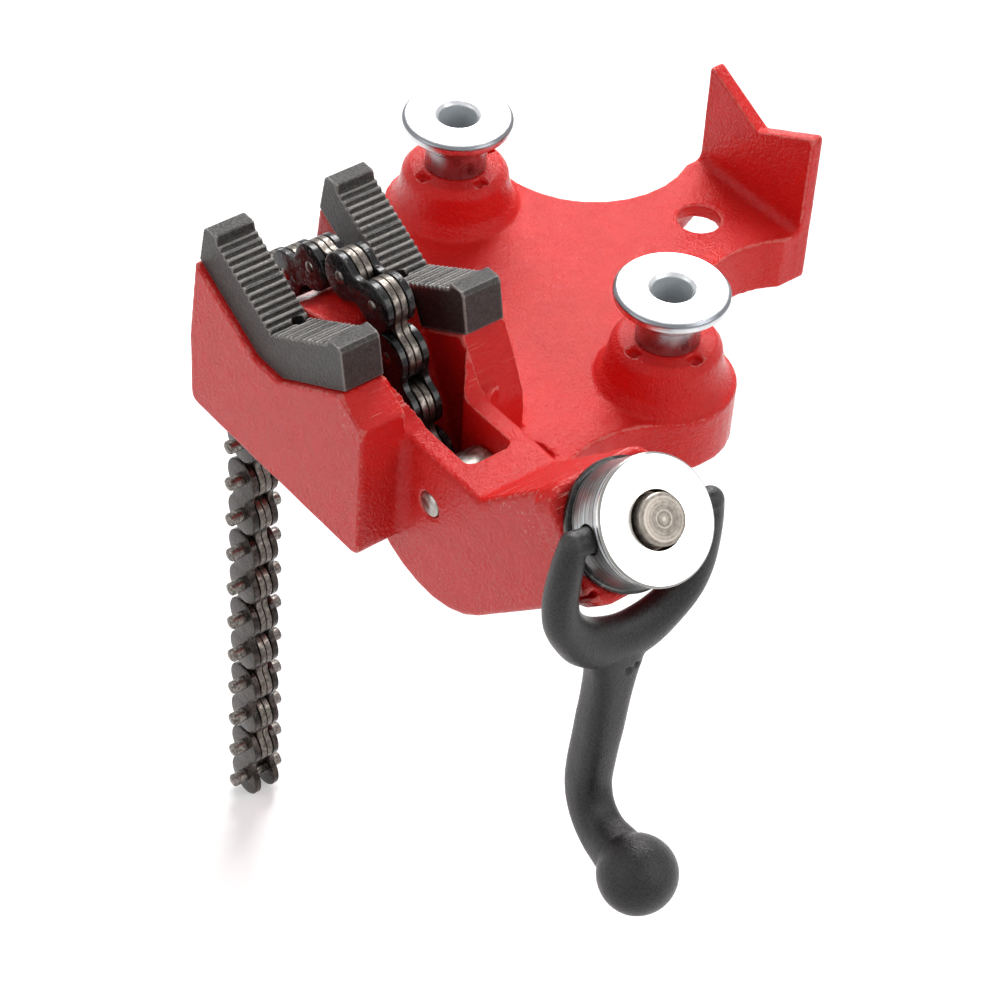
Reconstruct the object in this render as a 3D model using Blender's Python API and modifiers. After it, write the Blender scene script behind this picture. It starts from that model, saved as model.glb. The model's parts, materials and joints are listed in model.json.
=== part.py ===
"""Chain pipe vise: a cast base with a V-jaw block, two bender spools and a chain drawn by a screw.

Metres, +Z up. The bench face is z = 0, the chain runs in the plane y = 0 and the base's long
axis is +Y. The chain's screw rises towards +X.
"""
import math

import bmesh
import bpy
from mathutils import Matrix, Vector

# Overall
MODEL_NAME = "chain_pipe_vise"
CLEAR = 0.0003
OVERRUN = 0.004
WELD = 0.00001

# Chain
PITCH = 0.01905
LINK_COUNT = 25
LOBE_R = 0.0090
WAIST_HALF = 0.0055
PLATE_THICK = 0.0029
INNER_HALF = 0.00275
PIN_R = 0.00275
PIN_FLUSH_HALF = 0.0066
PIN_LONG_HALF = 0.0123
FIRST_LONG_LINK = 11

# Roller under the chain and its cross pin
ROLLER_X = 0.0696
ROLLER_Z = 0.0256
ROLLER_R = 0.0116
ROLLER_HALF = 0.0085
ROLLER_CHAMFER = 0.0008
CROSS_PIN_R = 0.00475
CHAIN_CLEAR = 0.0014
CHAIN_R = ROLLER_R + LOBE_R + CHAIN_CLEAR

# Chain's route over the casting
FLOOR_CLEAR = 0.0013
WELL_ANGLE = math.radians(116.5)
CROWN_X = 0.0103
CROWN_Z = 0.0292
CROWN_R = 0.0460
SLOPE_ANGLE = math.radians(222.0)
NOSE_R = 0.0250
HANG_X = -0.0605

# Screw axis, measured from the foot of the roller's centre on it
SCREW_ANGLE = math.radians(42.86)
EYE_AT = 0.0093
HOUSING_END = 0.0853
WASHER_THICK = 0.0029
NUT_THICK = 0.0178
NUT_R = 0.0216
NUT_MOUTH_R = 0.0102
NUT_MOUTH_DEPTH = 0.0050
NUT_GROOVE = 0.0008
NUT_EDGE = 0.0008
WASHER_R = 0.0224
SCREW_R = 0.0080
SCREW_PROUD = 0.0039
SCREW_CHAMFER = 0.0010
COLLAR_AT = 0.0112

# Plate of the base
PLATE_TOP = 0.0230
TOP_WALL = 0.0060
SKIRT_WALL = 0.0060
LOBE_X = 0.0617
LOBE_Y = 0.0945
LOBE_PLAN_R = 0.0268
END_HALF = 0.0287
END_Y = 0.1960
NECK_X = 0.0652
NECK_BACK = 0.0330
NECK_Y = END_Y - NECK_BACK
RIGHT_ARC_X = 0.1172
RIGHT_ARC_Y = 0.0538
LEFT_ARC_X = 0.0715
LEFT_ARC_Y = 0.0447
REAR_HOLE_BACK = 0.0310
REAR_HOLE_Y = END_Y - REAR_HOLE_BACK
REAR_HOLE_R = 0.0084
SMALL_HOLE_X = 0.0665
SMALL_HOLE_Y = 0.0315
SMALL_HOLE_R = 0.0045

# Bosses and spools
BOSS_TOP = 0.0413
BOSS_FOOT_R = 0.0250
BOSS_WAIST_R = 0.0212
BOSS_WAIST_Z = 0.0330
BOSS_SHOULDER_R = 0.0202
BOSS_FLAT_R = 0.0176
BOSS_SHOULDER_DROP = 0.0030
BOSS_RELIEF = 0.0005
BOLT_R = 0.00715
SPOOL_TOP = 0.06365
FLANGE_R = 0.0209
FLANGE_THICK = 0.0048
FLANGE_ROUND = 0.0010
SPOOL_NECK_R = 0.0128
SPOOL_CONE_DROP = 0.0045
BORE_CHAMFER = 0.0012
NOTCH_INNER_R = 0.0131
NOTCH_LENGTH = 0.0042
NOTCH_WIDTH = 0.0050
NOTCH_DEPTH = 0.0030

# V-shaped pipe rest at the far end
REST_FRONT = 0.1905
REST_PEAK_Z = 0.0672
REST_NOTCH_Z = 0.0530
REST_ROUND = 0.0016
REST_PROUD = 0.0003
REST_FILLET = 0.0050

# Jaw block
BLOCK_HALF = 0.0360
BLOCK_LEFT = 0.0475
BLOCK_BOTTOM = -0.0010
BLOCK_KNEE_Z = 0.0300
BLOCK_ROUND = 0.0040
BLOCK_EDGE = 0.0014
SEAT_END_X = 0.0430
SEAT_END_Z = 0.0656
SEAT_FLAT_X = 0.0070
SEAT_FLAT_Z = 0.0460
FRONT_TOE_X = 0.0560
FRONT_TOE_Z = 0.0576
FRONT_FOOT_X = 0.0550
REAR_TOP_X = 0.0378
REAR_KNEE_X = 0.0537
REAR_KNEE_Z = 0.0386
WEB_FILLET = 0.0080

# Channel between the jaws and the slot down to the roller
CHANNEL_HALF = 0.0174
SADDLE_TOP = 0.0665
SLOT_HALF = 0.0094
SLOT_START_X = 0.0430
SLOT_NARROW_X = 0.0530
SLOT_END_X = 0.0805
SLOT_ROUND = 0.0030
SLOT_TOP_Z = 0.0500
BORE_R = 0.0116

# Housing round the roller and the screw
HOUSING_SIDE = 0.0172
HOUSING_DEPTH = 0.0200
HOUSING_HEIGHT = 0.0208
HOUSING_EDGE = 0.0040
LAND_X = 0.0570
LAND_Z = 0.0480
BOSS_HALF = 0.0214
BOSS_LENGTH = 0.0150
BOSS_CORNER = 0.0075
BOSS_EDGE = 0.0015
OIL_HOLE_R = 0.0014
OIL_HOLE_Y = 0.0192
OIL_HOLE_DROP = 0.0156
OIL_HOLE_DEPTH = 0.0080

# Jaws
JAW_INNER = 0.0174
JAW_OUTER = 0.0337
TOOTH_APEX_Z = 0.0613
TOOTH_END_X = 0.0320
TOOTH_END_Z = 0.0765
TOOTH_COUNT = 13
TOOTH_DEPTH = 0.0011
CAP_TOP_Z = 0.0820
CAP_INNER_X = 0.0342
CAP_OUTER_X = 0.0388
CAP_ROUND = 0.0014
JAW_SCREW_Y = 0.0218
JAW_HOLE_R = 0.00265
JAW_SCREW_R = 0.0031
JAW_SCREW_TIP_Z = 0.0570
JAW_SCREW_HEAD_R = 0.0050
JAW_SCREW_HEAD = 0.0062
JAW_SCREW_SEAT_Z = 0.0240
HEX_R = 0.0029
HEX_DEPTH = 0.0030

# Hooks for the chain's long pins
HOOK_INNER = 0.0075
HOOK_OUTER = 0.0140
HOOK_REACH = 0.0072
HOOK_LOW_Z = 0.0060
HOOK_TOP_Z = 0.0200
HOOK_THICK = 0.0035

# Fork handle on the nut
NUT_TURN = math.radians(-8.0)
PRONG_R = 0.0058
PRONG_TOP_SHARE = 0.72
FORK_BOTTOM_SHARE = 1.5
PRONG_GAP = 0.0006
PRONG_PIN_R = 0.0036
PRONG_PIN_REACH = 0.0150
FORK_DEPTH = 0.0515
FORK_ROUND = 0.0200
FORK_FLARE = 0.0022
FLARE_DEPTH = 0.0180
SHANK_R = 0.0077
SHANK_TOP_SHARE = 1.05
SHANK_END_SHARE = 1.0
BEND_R = 0.0160
BEND_STEPS = 5
BALL_FORWARD = 0.0343
BALL_DEPTH = 0.1297
BALL_R = 0.01405

# Steps of round pieces
ARC_STEPS = 6
ROUND_SIDES = 32
PIN_SIDES = 10


def collection(name):
    made = bpy.data.collections.new(name)
    bpy.context.scene.collection.children.link(made)
    return made


for old in list(bpy.data.objects):
    bpy.data.objects.remove(old)
PARTS = collection(MODEL_NAME)
CUTTERS = collection(MODEL_NAME + "_cutters")


def finish(name, color, roughness, metallic):
    """A plain material in the piece's own colour."""
    made = bpy.data.materials.new(name)
    made.use_nodes = True
    shader = made.node_tree.nodes["Principled BSDF"]
    shader.inputs["Base Color"].default_value = (*color, 1)
    shader.inputs["Roughness"].default_value = roughness
    shader.inputs["Metallic"].default_value = metallic
    return made


ENAMEL = finish("red_enamel", (0.58, 0.012, 0.014), 0.38, 0.0)
JAW_STEEL = finish("forged_jaw_steel", (0.045, 0.040, 0.037), 0.50, 0.9)
ZINC = finish("zinc_plate", (0.62, 0.62, 0.60), 0.32, 1.0)
BARE_STEEL = finish("bare_steel", (0.36, 0.34, 0.32), 0.35, 1.0)
OILED_PLATE = finish("oiled_black_plate", (0.030, 0.030, 0.032), 0.28, 0.8)
BROWN_PLATE = finish("brown_steel_plate", (0.26, 0.21, 0.17), 0.42, 1.0)
BLACK_FORGING = finish("black_forging", (0.035, 0.034, 0.033), 0.55, 0.6)
BLACK_SCREW = finish("black_screw", (0.030, 0.030, 0.030), 0.45, 0.8)


def solid_from(source, name):
    """The evaluated shape of an object as a clean closed mesh object in the same place."""
    PARTS.objects.link(source)
    graph = bpy.context.evaluated_depsgraph_get()
    mesh = bpy.data.meshes.new_from_object(source.evaluated_get(graph))
    place = source.matrix_world.copy()
    bpy.data.objects.remove(source)
    shape = bmesh.new()
    shape.from_mesh(mesh)
    bmesh.ops.remove_doubles(shape, verts=shape.verts, dist=WELD)
    bmesh.ops.dissolve_limit(shape, angle_limit=math.radians(0.5), verts=shape.verts, edges=shape.edges)
    bmesh.ops.recalc_face_normals(shape, faces=shape.faces)
    shape.to_mesh(mesh)
    shape.free()
    mesh.name = name
    made = bpy.data.objects.new(name, mesh)
    made.matrix_world = place
    return made


def prism(name, outline, low, high, frame=Matrix.Identity(4)):
    """A flat outline made solid between two levels of its own Z."""
    curve = bpy.data.curves.new(name, "CURVE")
    curve.dimensions = "2D"
    curve.fill_mode = "BOTH"
    curve.extrude = (high - low) / 2
    spline = curve.splines.new("POLY")
    spline.points.add(len(outline) - 1)
    for point, (x, y) in zip(spline.points, outline):
        point.co = (x, y, 0, 1)
    spline.use_cyclic_u = True
    flat = bpy.data.objects.new(name, curve)
    flat.matrix_world = frame @ Matrix.Translation((0, 0, (low + high) / 2))
    return solid_from(flat, name)


UPRIGHT = Matrix.Rotation(math.radians(90), 4, "X")


def slab(name, outline, y_low, y_high):
    """A solid with an X-Z outline between two values of Y."""
    return prism(name, outline, -y_high, -y_low, UPRIGHT)


def turned(name, profile, frame=Matrix.Identity(4), sides=ROUND_SIDES, closed=False):
    """A turned solid: its profile of (radius, height) spun about the frame's Z."""
    mesh = bpy.data.meshes.new(name)
    edges = [(i, i + 1) for i in range(len(profile) - 1)]
    if closed:
        edges.append((len(profile) - 1, 0))
    mesh.from_pydata([(r, 0, z) for r, z in profile], edges, [])
    made = bpy.data.objects.new(name, mesh)
    made.matrix_world = frame
    screw = made.modifiers.new("spin", "SCREW")
    screw.steps = sides
    screw.render_steps = sides
    screw.use_merge_vertices = True
    screw.merge_threshold = WELD
    screw.use_smooth_shade = False
    return solid_from(made, name)


def rod(name, radius, low, high, frame=Matrix.Identity(4), sides=ROUND_SIDES):
    """A plain cylinder along the frame's Z."""
    mesh = bpy.data.meshes.new(name)
    shape = bmesh.new()
    place = Matrix.Translation((0, 0, (low + high) / 2))
    bmesh.ops.create_cone(shape, cap_ends=True, segments=sides, radius1=radius, radius2=radius,
                          depth=high - low, matrix=place)
    shape.to_mesh(mesh)
    shape.free()
    made = bpy.data.objects.new(name, mesh)
    made.matrix_world = frame
    return made


def block(name, low, high, frame=Matrix.Identity(4)):
    """A box between two corners."""
    mesh = bpy.data.meshes.new(name)
    shape = bmesh.new()
    low, high = Vector(low), Vector(high)
    place = Matrix.Translation((low + high) / 2) @ Matrix.Diagonal((*(high - low), 1))
    bmesh.ops.create_cube(shape, size=1, matrix=place)
    shape.to_mesh(mesh)
    shape.free()
    made = bpy.data.objects.new(name, mesh)
    made.matrix_world = frame
    return made


def soften(target, width, chosen, segments=2):
    """Round the edges that the test picks, given their two ends in the object's own frame."""
    shape = bmesh.new()
    shape.from_mesh(target.data)
    edges = [e for e in shape.edges if chosen(e.verts[0].co, e.verts[1].co) and e.calc_face_angle(0) > 0.5]
    bmesh.ops.bevel(shape, geom=edges, offset=width, segments=segments, profile=0.5, affect="EDGES",
                    clamp_overlap=True)
    shape.to_mesh(target.data)
    shape.free()


def tool(made):
    """Put a cutter or a joined shape away from the parts."""
    CUTTERS.objects.link(made)
    made.hide_render = True
    made.display_type = "WIRE"
    return made


def boolean(target, other, operation):
    change = target.modifiers.new(other.name, "BOOLEAN")
    change.operation = operation
    change.solver = "EXACT"
    change.object = other


def cut(target, *others):
    for other in others:
        boolean(target, tool(other), "DIFFERENCE")


def join(target, *others):
    for other in others:
        boolean(target, tool(other), "UNION")


def part(made, material, parent=None):
    """Name a finished piece as a part, with its material and smooth round faces."""
    if made.name not in PARTS.objects:
        PARTS.objects.link(made)
    made.data.materials.clear()
    made.data.materials.append(material)
    made.data.shade_smooth()
    made.data.set_sharp_from_angle(angle=math.radians(35))
    if parent:
        place = made.matrix_world.copy()
        made.parent = parent
        made.matrix_parent_inverse = parent.matrix_world.inverted()
        made.matrix_world = place
    return made


def arc(cx, cy, radius, start, end, steps=ARC_STEPS):
    """Points of a circle's arc between two angles in degrees, both ends kept."""
    turns = [math.radians(start + (end - start) * i / steps) for i in range(steps + 1)]
    return [(cx + radius * math.cos(a), cy + radius * math.sin(a)) for a in turns]


def rounded(corners, steps=3):
    """A closed outline from corners (x, y, radius)."""
    points = []
    for i, (x, y, radius) in enumerate(corners):
        here = Vector((x, y))
        if not radius:
            points.append((x, y))
            continue
        before = (Vector(corners[i - 1][:2]) - here).normalized()
        after = (Vector(corners[(i + 1) % len(corners)][:2]) - here).normalized()
        half = before.angle(after) / 2
        centre = here + (before + after).normalized() * radius / math.sin(half)
        start = here + before * radius / math.tan(half) - centre
        end = here + after * radius / math.tan(half) - centre
        sweep = start.angle_signed(end)
        for k in range(steps + 1):
            turn = Matrix.Rotation(-sweep * k / steps, 2)
            points.append(tuple(centre + turn @ start))
    return points


def heading(angle):
    return Vector((math.cos(angle), math.sin(angle)))


def to_world(point, y=0.0):
    return Vector((point[0], y, point[1]))


# Frames: the roller's cross pin along Y, and the screw's axis as local Z with local X square below it
ROLLER = Vector((ROLLER_X, ROLLER_Z))
ALONG = heading(SCREW_ANGLE)
BELOW = heading(SCREW_ANGLE - math.pi / 2)
FOOT = ROLLER + BELOW * CHAIN_R
AXIS_FRAME = Matrix.Translation(to_world(FOOT)) @ Matrix.Rotation(math.pi / 2 - SCREW_ANGLE, 4, "Y")
NUT_BACK = HOUSING_END + WASHER_THICK + 2 * CLEAR
NUT_FRONT = NUT_BACK + NUT_THICK
NUT_MIDDLE = (NUT_BACK + NUT_FRONT) / 2
NUT_FRAME = AXIS_FRAME @ Matrix.Translation((0, 0, NUT_MIDDLE)) @ Matrix.Rotation(NUT_TURN, 4, "Z")


def across(x, z, y=0.0):
    """A frame whose Z runs along world Y through a point of the X-Z plane."""
    return Matrix.Translation((x, y, z)) @ Matrix.Rotation(-math.pi / 2, 4, "X")


def well_line(inset):
    """A point and the direction of the chain's run up the well, moved into the casting by the inset."""
    direction = heading(WELL_ANGLE)
    return ROLLER + heading(WELL_ANGLE + math.pi / 2) * (CHAIN_R + inset), direction


def crown_corner(inset):
    """Where the run up the well meets the crown."""
    start, direction = well_line(inset)
    centre = Vector((CROWN_X, CROWN_Z))
    off = start - centre
    half = off.dot(direction)
    reach = math.sqrt(half * half - off.dot(off) + (CROWN_R - inset) ** 2)
    return start + direction * (reach - half)


def over_route(inset, steps):
    """The chain's route from the well over the crown and down, moved into the casting by the inset."""
    crown = Vector((CROWN_X, CROWN_Z))
    side = heading(SLOPE_ANGLE - math.pi / 2)
    fall = heading(SLOPE_ANGLE)
    nose_x = HANG_X + NOSE_R
    run = (nose_x - (crown + side * (CROWN_R - NOSE_R)).x) / fall.x
    nose = crown + side * (CROWN_R - NOSE_R) + fall * run
    corner = crown_corner(inset)
    first = math.degrees(math.atan2(corner.y - crown.y, corner.x - crown.x))
    last = math.degrees(SLOPE_ANGLE) - 90
    points = [tuple(corner)]
    points += arc(crown.x, crown.y, CROWN_R - inset, first, last, steps)[1:]
    points += arc(nose.x, nose.y, NOSE_R - inset, last, 180, steps)
    return points


def under_route(inset, steps):
    """The route round under the roller, from the screw's axis to the well."""
    first = math.degrees(SCREW_ANGLE) - 90
    last = math.degrees(WELL_ANGLE) + 90 - 360
    return arc(ROLLER.x, ROLLER.y, CHAIN_R + inset, first, last, steps)


def chain_pins():
    """Places of the chain's pins, one pitch apart along the route, from the screw's eye."""
    eye = FOOT + ALONG * EYE_AT
    route = [eye] + [Vector(p) for p in under_route(0, 60) + over_route(0, 60)]
    route.append(Vector((HANG_X, -PITCH * LINK_COUNT)))
    pins = [eye]
    i = 1
    while len(pins) <= LINK_COUNT:
        here = pins[-1]
        while (route[i] - here).length < PITCH:
            i += 1
        back = route[i - 1] if (route[i - 1] - here).length < PITCH else here
        direction = (route[i] - back).normalized()
        off = back - here
        half = off.dot(direction)
        reach = math.sqrt(half * half - off.dot(off) + PITCH * PITCH)
        pins.append(back + direction * (reach - half))
    return pins


PINS = chain_pins()


def plate_outline(inset):
    """The base plate's outline from above, moved inwards by the inset."""
    lobe = LOBE_PLAN_R - inset
    right = math.hypot(RIGHT_ARC_X - LOBE_X, LOBE_Y - RIGHT_ARC_Y) - LOBE_PLAN_R + inset
    left = math.hypot(LEFT_ARC_X - LOBE_X, LOBE_Y - LEFT_ARC_Y) - LOBE_PLAN_R + inset
    neck = math.hypot(NECK_X - LOBE_X, NECK_Y - LOBE_Y) - LOBE_PLAN_R + inset
    end = END_HALF - inset
    front = HOUSING_SIDE - OVERRUN / 2
    right_way = math.degrees(math.atan2(LOBE_Y - RIGHT_ARC_Y, LOBE_X - RIGHT_ARC_X))
    right_start = 180 + math.degrees(math.asin((RIGHT_ARC_Y - front) / right))
    neck_way = math.degrees(math.atan2(NECK_Y - LOBE_Y, NECK_X - LOBE_X))
    neck_end = 180 - math.degrees(math.acos((NECK_X - end) / neck))
    left_way = math.degrees(math.atan2(LOBE_Y - LEFT_ARC_Y, LEFT_ARC_X - LOBE_X))
    points = arc(RIGHT_ARC_X, RIGHT_ARC_Y, right, right_start, right_way, 8)
    points += arc(LOBE_X, LOBE_Y, lobe, right_way - 180, neck_way, 12)[1:]
    points += arc(NECK_X, NECK_Y, neck, neck_way + 180, neck_end, 10)[1:]
    points += [(end, END_Y - inset), (-end, END_Y - inset)]
    points += arc(-NECK_X, NECK_Y, neck, 180 - neck_end, -neck_way, 10)
    points += arc(-LOBE_X, LOBE_Y, lobe, 180 - neck_way, 180 + left_way, 12)[1:]
    points += arc(-LEFT_ARC_X, LEFT_ARC_Y, left, left_way, 0, 5)[1:]
    points += [(left - LEFT_ARC_X, front)]
    return points


def spool_boss(name, side):
    profile = [(0, BOSS_TOP), (BOSS_FLAT_R, BOSS_TOP), (BOSS_SHOULDER_R, BOSS_TOP - BOSS_SHOULDER_DROP)]
    profile += [(BOSS_WAIST_R, BOSS_WAIST_Z)]
    profile += [((BOSS_WAIST_R + BOSS_FOOT_R) / 2 - BOSS_SHOULDER_DROP / 3, (BOSS_WAIST_Z + PLATE_TOP) / 2)]
    foot = LOBE_PLAN_R - SKIRT_WALL / 2
    profile += [(BOSS_FOOT_R + TOP_WALL / 6, PLATE_TOP - TOP_WALL / 6), (foot, PLATE_TOP - TOP_WALL / 2)]
    profile += [(foot, BOSS_RELIEF), (0, BOSS_RELIEF)]
    return turned(name, profile, Matrix.Translation((side * LOBE_X, LOBE_Y, 0)))


def jaw_block():
    outline = rounded([
        (-BLOCK_LEFT, BLOCK_BOTTOM, BLOCK_ROUND), (FRONT_FOOT_X, BLOCK_BOTTOM, BLOCK_ROUND),
        (FRONT_TOE_X, FRONT_TOE_Z, BLOCK_EDGE), (SEAT_END_X, SEAT_END_Z, 0), (SEAT_FLAT_X, SEAT_FLAT_Z, 0),
        (-SEAT_FLAT_X, SEAT_FLAT_Z, 0), (-SEAT_END_X, SEAT_END_Z, 0), (-BLOCK_LEFT, BLOCK_KNEE_Z, 0)])
    made = slab("jaw_block", outline, -BLOCK_HALF, BLOCK_HALF)

    def side_edge(a, b):
        return abs(a.z) > BLOCK_HALF - WELD and abs(b.z) > BLOCK_HALF - WELD

    soften(made, BLOCK_EDGE, side_edge)
    cut(made, rear_slope(), slot_slope())
    return made


def housing():
    low = math.degrees(SCREW_ANGLE) - 90
    shell = CHAIN_R + HOUSING_DEPTH
    bottom = arc(ROLLER.x, ROLLER.y, shell, -146, low, 8)
    end_low = FOOT + ALONG * HOUSING_END + BELOW * HOUSING_DEPTH
    end_high = FOOT + ALONG * HOUSING_END - BELOW * HOUSING_HEIGHT
    rise = (LAND_Z - (FOOT - BELOW * HOUSING_HEIGHT).y) / ALONG.y
    land_end = FOOT - BELOW * HOUSING_HEIGHT + ALONG * rise
    outline = bottom + [tuple(end_low), tuple(end_high), tuple(land_end), (bottom[0][0], LAND_Z)]
    made = slab("housing", outline, -HOUSING_SIDE, HOUSING_SIDE)

    def long_edge(a, b):
        on_side = abs(a.z) > HOUSING_SIDE - WELD and abs(b.z) > HOUSING_SIDE - WELD
        return on_side and max(a.x, b.x) > SLOT_START_X

    soften(made, HOUSING_EDGE, long_edge)
    return made


def end_boss():
    half = BOSS_HALF
    outline = rounded([(-half, -half, BOSS_CORNER), (half, -half, BOSS_CORNER),
                       (half, half, BOSS_CORNER), (-half, half, BOSS_CORNER)])
    made = prism("end_boss", outline, HOUSING_END - BOSS_LENGTH, HOUSING_END, AXIS_FRAME)

    def back_edge(a, b):
        return a.z < 0 and b.z < 0

    def front_edge(a, b):
        return a.z > 0 and b.z > 0

    soften(made, BOSS_CORNER / 2, back_edge, 1)
    soften(made, BOSS_EDGE, front_edge, 1)
    return made


def pipe_rest():
    half = END_HALF + REST_PROUD
    outline = rounded([
        (-half, 2 * REST_PROUD, 0), (half, 2 * REST_PROUD, 0), (half, REST_PEAK_Z, REST_ROUND),
        (0, REST_NOTCH_Z, REST_ROUND), (-half, REST_PEAK_Z, REST_ROUND)])
    return slab("pipe_rest", outline, REST_FRONT, END_Y + REST_PROUD)


def rest_fillet():
    """The concave fillet at the foot of the pipe rest."""
    low = PLATE_TOP - TOP_WALL / 3
    high = PLATE_TOP + REST_FILLET - CLEAR
    front = REST_FRONT - REST_FILLET + CLEAR
    outline = [(REST_FRONT + TOP_WALL / 3, low), (REST_FRONT + TOP_WALL / 3, high)]
    outline += arc(front, high, REST_FILLET, 0, -90, 4) + [(front, low)]
    frame = Matrix.Rotation(math.pi / 2, 4, "Z") @ UPRIGHT
    return prism("rest_fillet", outline, CLEAR - END_HALF, END_HALF - CLEAR, frame)


def web_fillet(name, side, low):
    """The upright concave fillet where the block meets the housing."""
    cx = FRONT_FOOT_X + WEB_FILLET - BLOCK_EDGE
    cy = HOUSING_SIDE + WEB_FILLET - CLEAR
    outline = [(cx - WEB_FILLET - OVERRUN, cy), (cx - WEB_FILLET, cy)]
    outline += arc(cx, cy, WEB_FILLET, 180, 270, 4)[1:]
    outline += [(cx, HOUSING_SIDE - OVERRUN), (cx - WEB_FILLET - OVERRUN, HOUSING_SIDE - OVERRUN)]
    outline = [(x, side * y) for x, y in outline]
    return prism(name, outline, low, LAND_Z - BLOCK_EDGE)


def hook(name, side):
    """A cast hook beside the chain that takes a long pin."""
    root = -BLOCK_LEFT + OVERRUN
    tip = -BLOCK_LEFT - HOOK_REACH
    outline = [(root, HOOK_LOW_Z), (tip + HOOK_THICK, HOOK_LOW_Z + HOOK_THICK),
               (tip, HOOK_TOP_Z - HOOK_THICK), (tip, HOOK_TOP_Z), (tip + HOOK_THICK / 2, HOOK_TOP_Z),
               (tip + HOOK_THICK, HOOK_TOP_Z - HOOK_THICK), (root, HOOK_TOP_Z)]
    ends = sorted((side * HOOK_INNER, side * HOOK_OUTER))
    return slab(name, outline, *ends)


def chain_way():
    """Cutter: the room above the chain's floor, from the nose to the pit, inside the channel and slot."""
    inset = LOBE_R + FLOOR_CLEAR
    high = CAP_TOP_Z + OVERRUN
    pit = under_route(inset, 14)
    floor = over_route(inset, 6)
    outline = [(HANG_X + inset, -high), (-BLOCK_LEFT - high / 2, -high), (-BLOCK_LEFT - high / 2, high)]
    outline += [(pit[0][0], high)] + pit + floor
    made = slab("chain_way", outline, -high, high)
    plan = rounded([
        (-BLOCK_LEFT - high, -CHANNEL_HALF, 0), (SLOT_START_X, -CHANNEL_HALF, SLOT_ROUND),
        (SLOT_NARROW_X, -SLOT_HALF, SLOT_ROUND), (SLOT_END_X, -SLOT_HALF, SLOT_ROUND),
        (SLOT_END_X, SLOT_HALF, SLOT_ROUND), (SLOT_NARROW_X, SLOT_HALF, SLOT_ROUND),
        (SLOT_START_X, CHANNEL_HALF, SLOT_ROUND), (-BLOCK_LEFT - high, CHANNEL_HALF, 0)])
    boolean(made, tool(prism("channel_plan", plan, -2 * high, 2 * high)), "INTERSECT")
    return made


def pit_end():
    """Cutter: the pit's far side, where the chain turns up into the bore."""
    inset = LOBE_R + FLOOR_CLEAR - CLEAR
    start = FOOT + BELOW * inset
    outline = under_route(inset, 14)
    outline += [tuple(FOOT - BELOW * BORE_R - ALONG * CHAIN_R)]
    outline += [tuple(FOOT - BELOW * BORE_R + ALONG * BORE_R), tuple(start + ALONG * BORE_R)]
    return slab("pit_end", outline, CLEAR - SLOT_HALF, SLOT_HALF - CLEAR)


def rear_slope():
    """Cutter: the steep end of the block on the far side."""
    high = SEAT_END_Z + OVERRUN
    outline = [(REAR_TOP_X, high), (REAR_KNEE_X, REAR_KNEE_Z),
               (FRONT_FOOT_X, PLATE_TOP - TOP_WALL / 2), (FRONT_TOE_X + OVERRUN, PLATE_TOP - TOP_WALL / 2),
               (FRONT_TOE_X + OVERRUN, high)]
    return slab("rear_slope", outline, CHANNEL_HALF - CLEAR, BLOCK_HALF + OVERRUN)


def slot_slope():
    """Cutter: the mouth of the slot, which falls from the block to the land."""
    high = SEAT_END_Z + OVERRUN
    outline = [(SLOT_START_X - OVERRUN, high), (SLOT_START_X, SEAT_END_Z), (SLOT_NARROW_X, SLOT_TOP_Z),
               (LAND_X, LAND_Z), (LAND_X + OVERRUN, LAND_Z), (LAND_X + OVERRUN, high)]
    return slab("slot_slope", outline, -CHANNEL_HALF - CLEAR, CHANNEL_HALF + CLEAR)


def boss_notches(name, side):
    """Cutter: four short notches round the foot of a spool."""
    low = (NOTCH_INNER_R, -NOTCH_WIDTH / 2, BOSS_TOP - NOTCH_DEPTH)
    high = (NOTCH_INNER_R + NOTCH_LENGTH, NOTCH_WIDTH / 2, BOSS_TOP + OVERRUN)
    mesh = bpy.data.meshes.new(name)
    shape = bmesh.new()
    for k in range(4):
        one = block(name, low, high)
        one.data.transform(Matrix.Rotation(k * math.pi / 2, 4, "Z"))
        shape.from_mesh(one.data)
        bpy.data.objects.remove(one)
    shape.to_mesh(mesh)
    shape.free()
    made = bpy.data.objects.new(name, mesh)
    made.location = (side * LOBE_X, LOBE_Y, 0)
    return made


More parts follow.
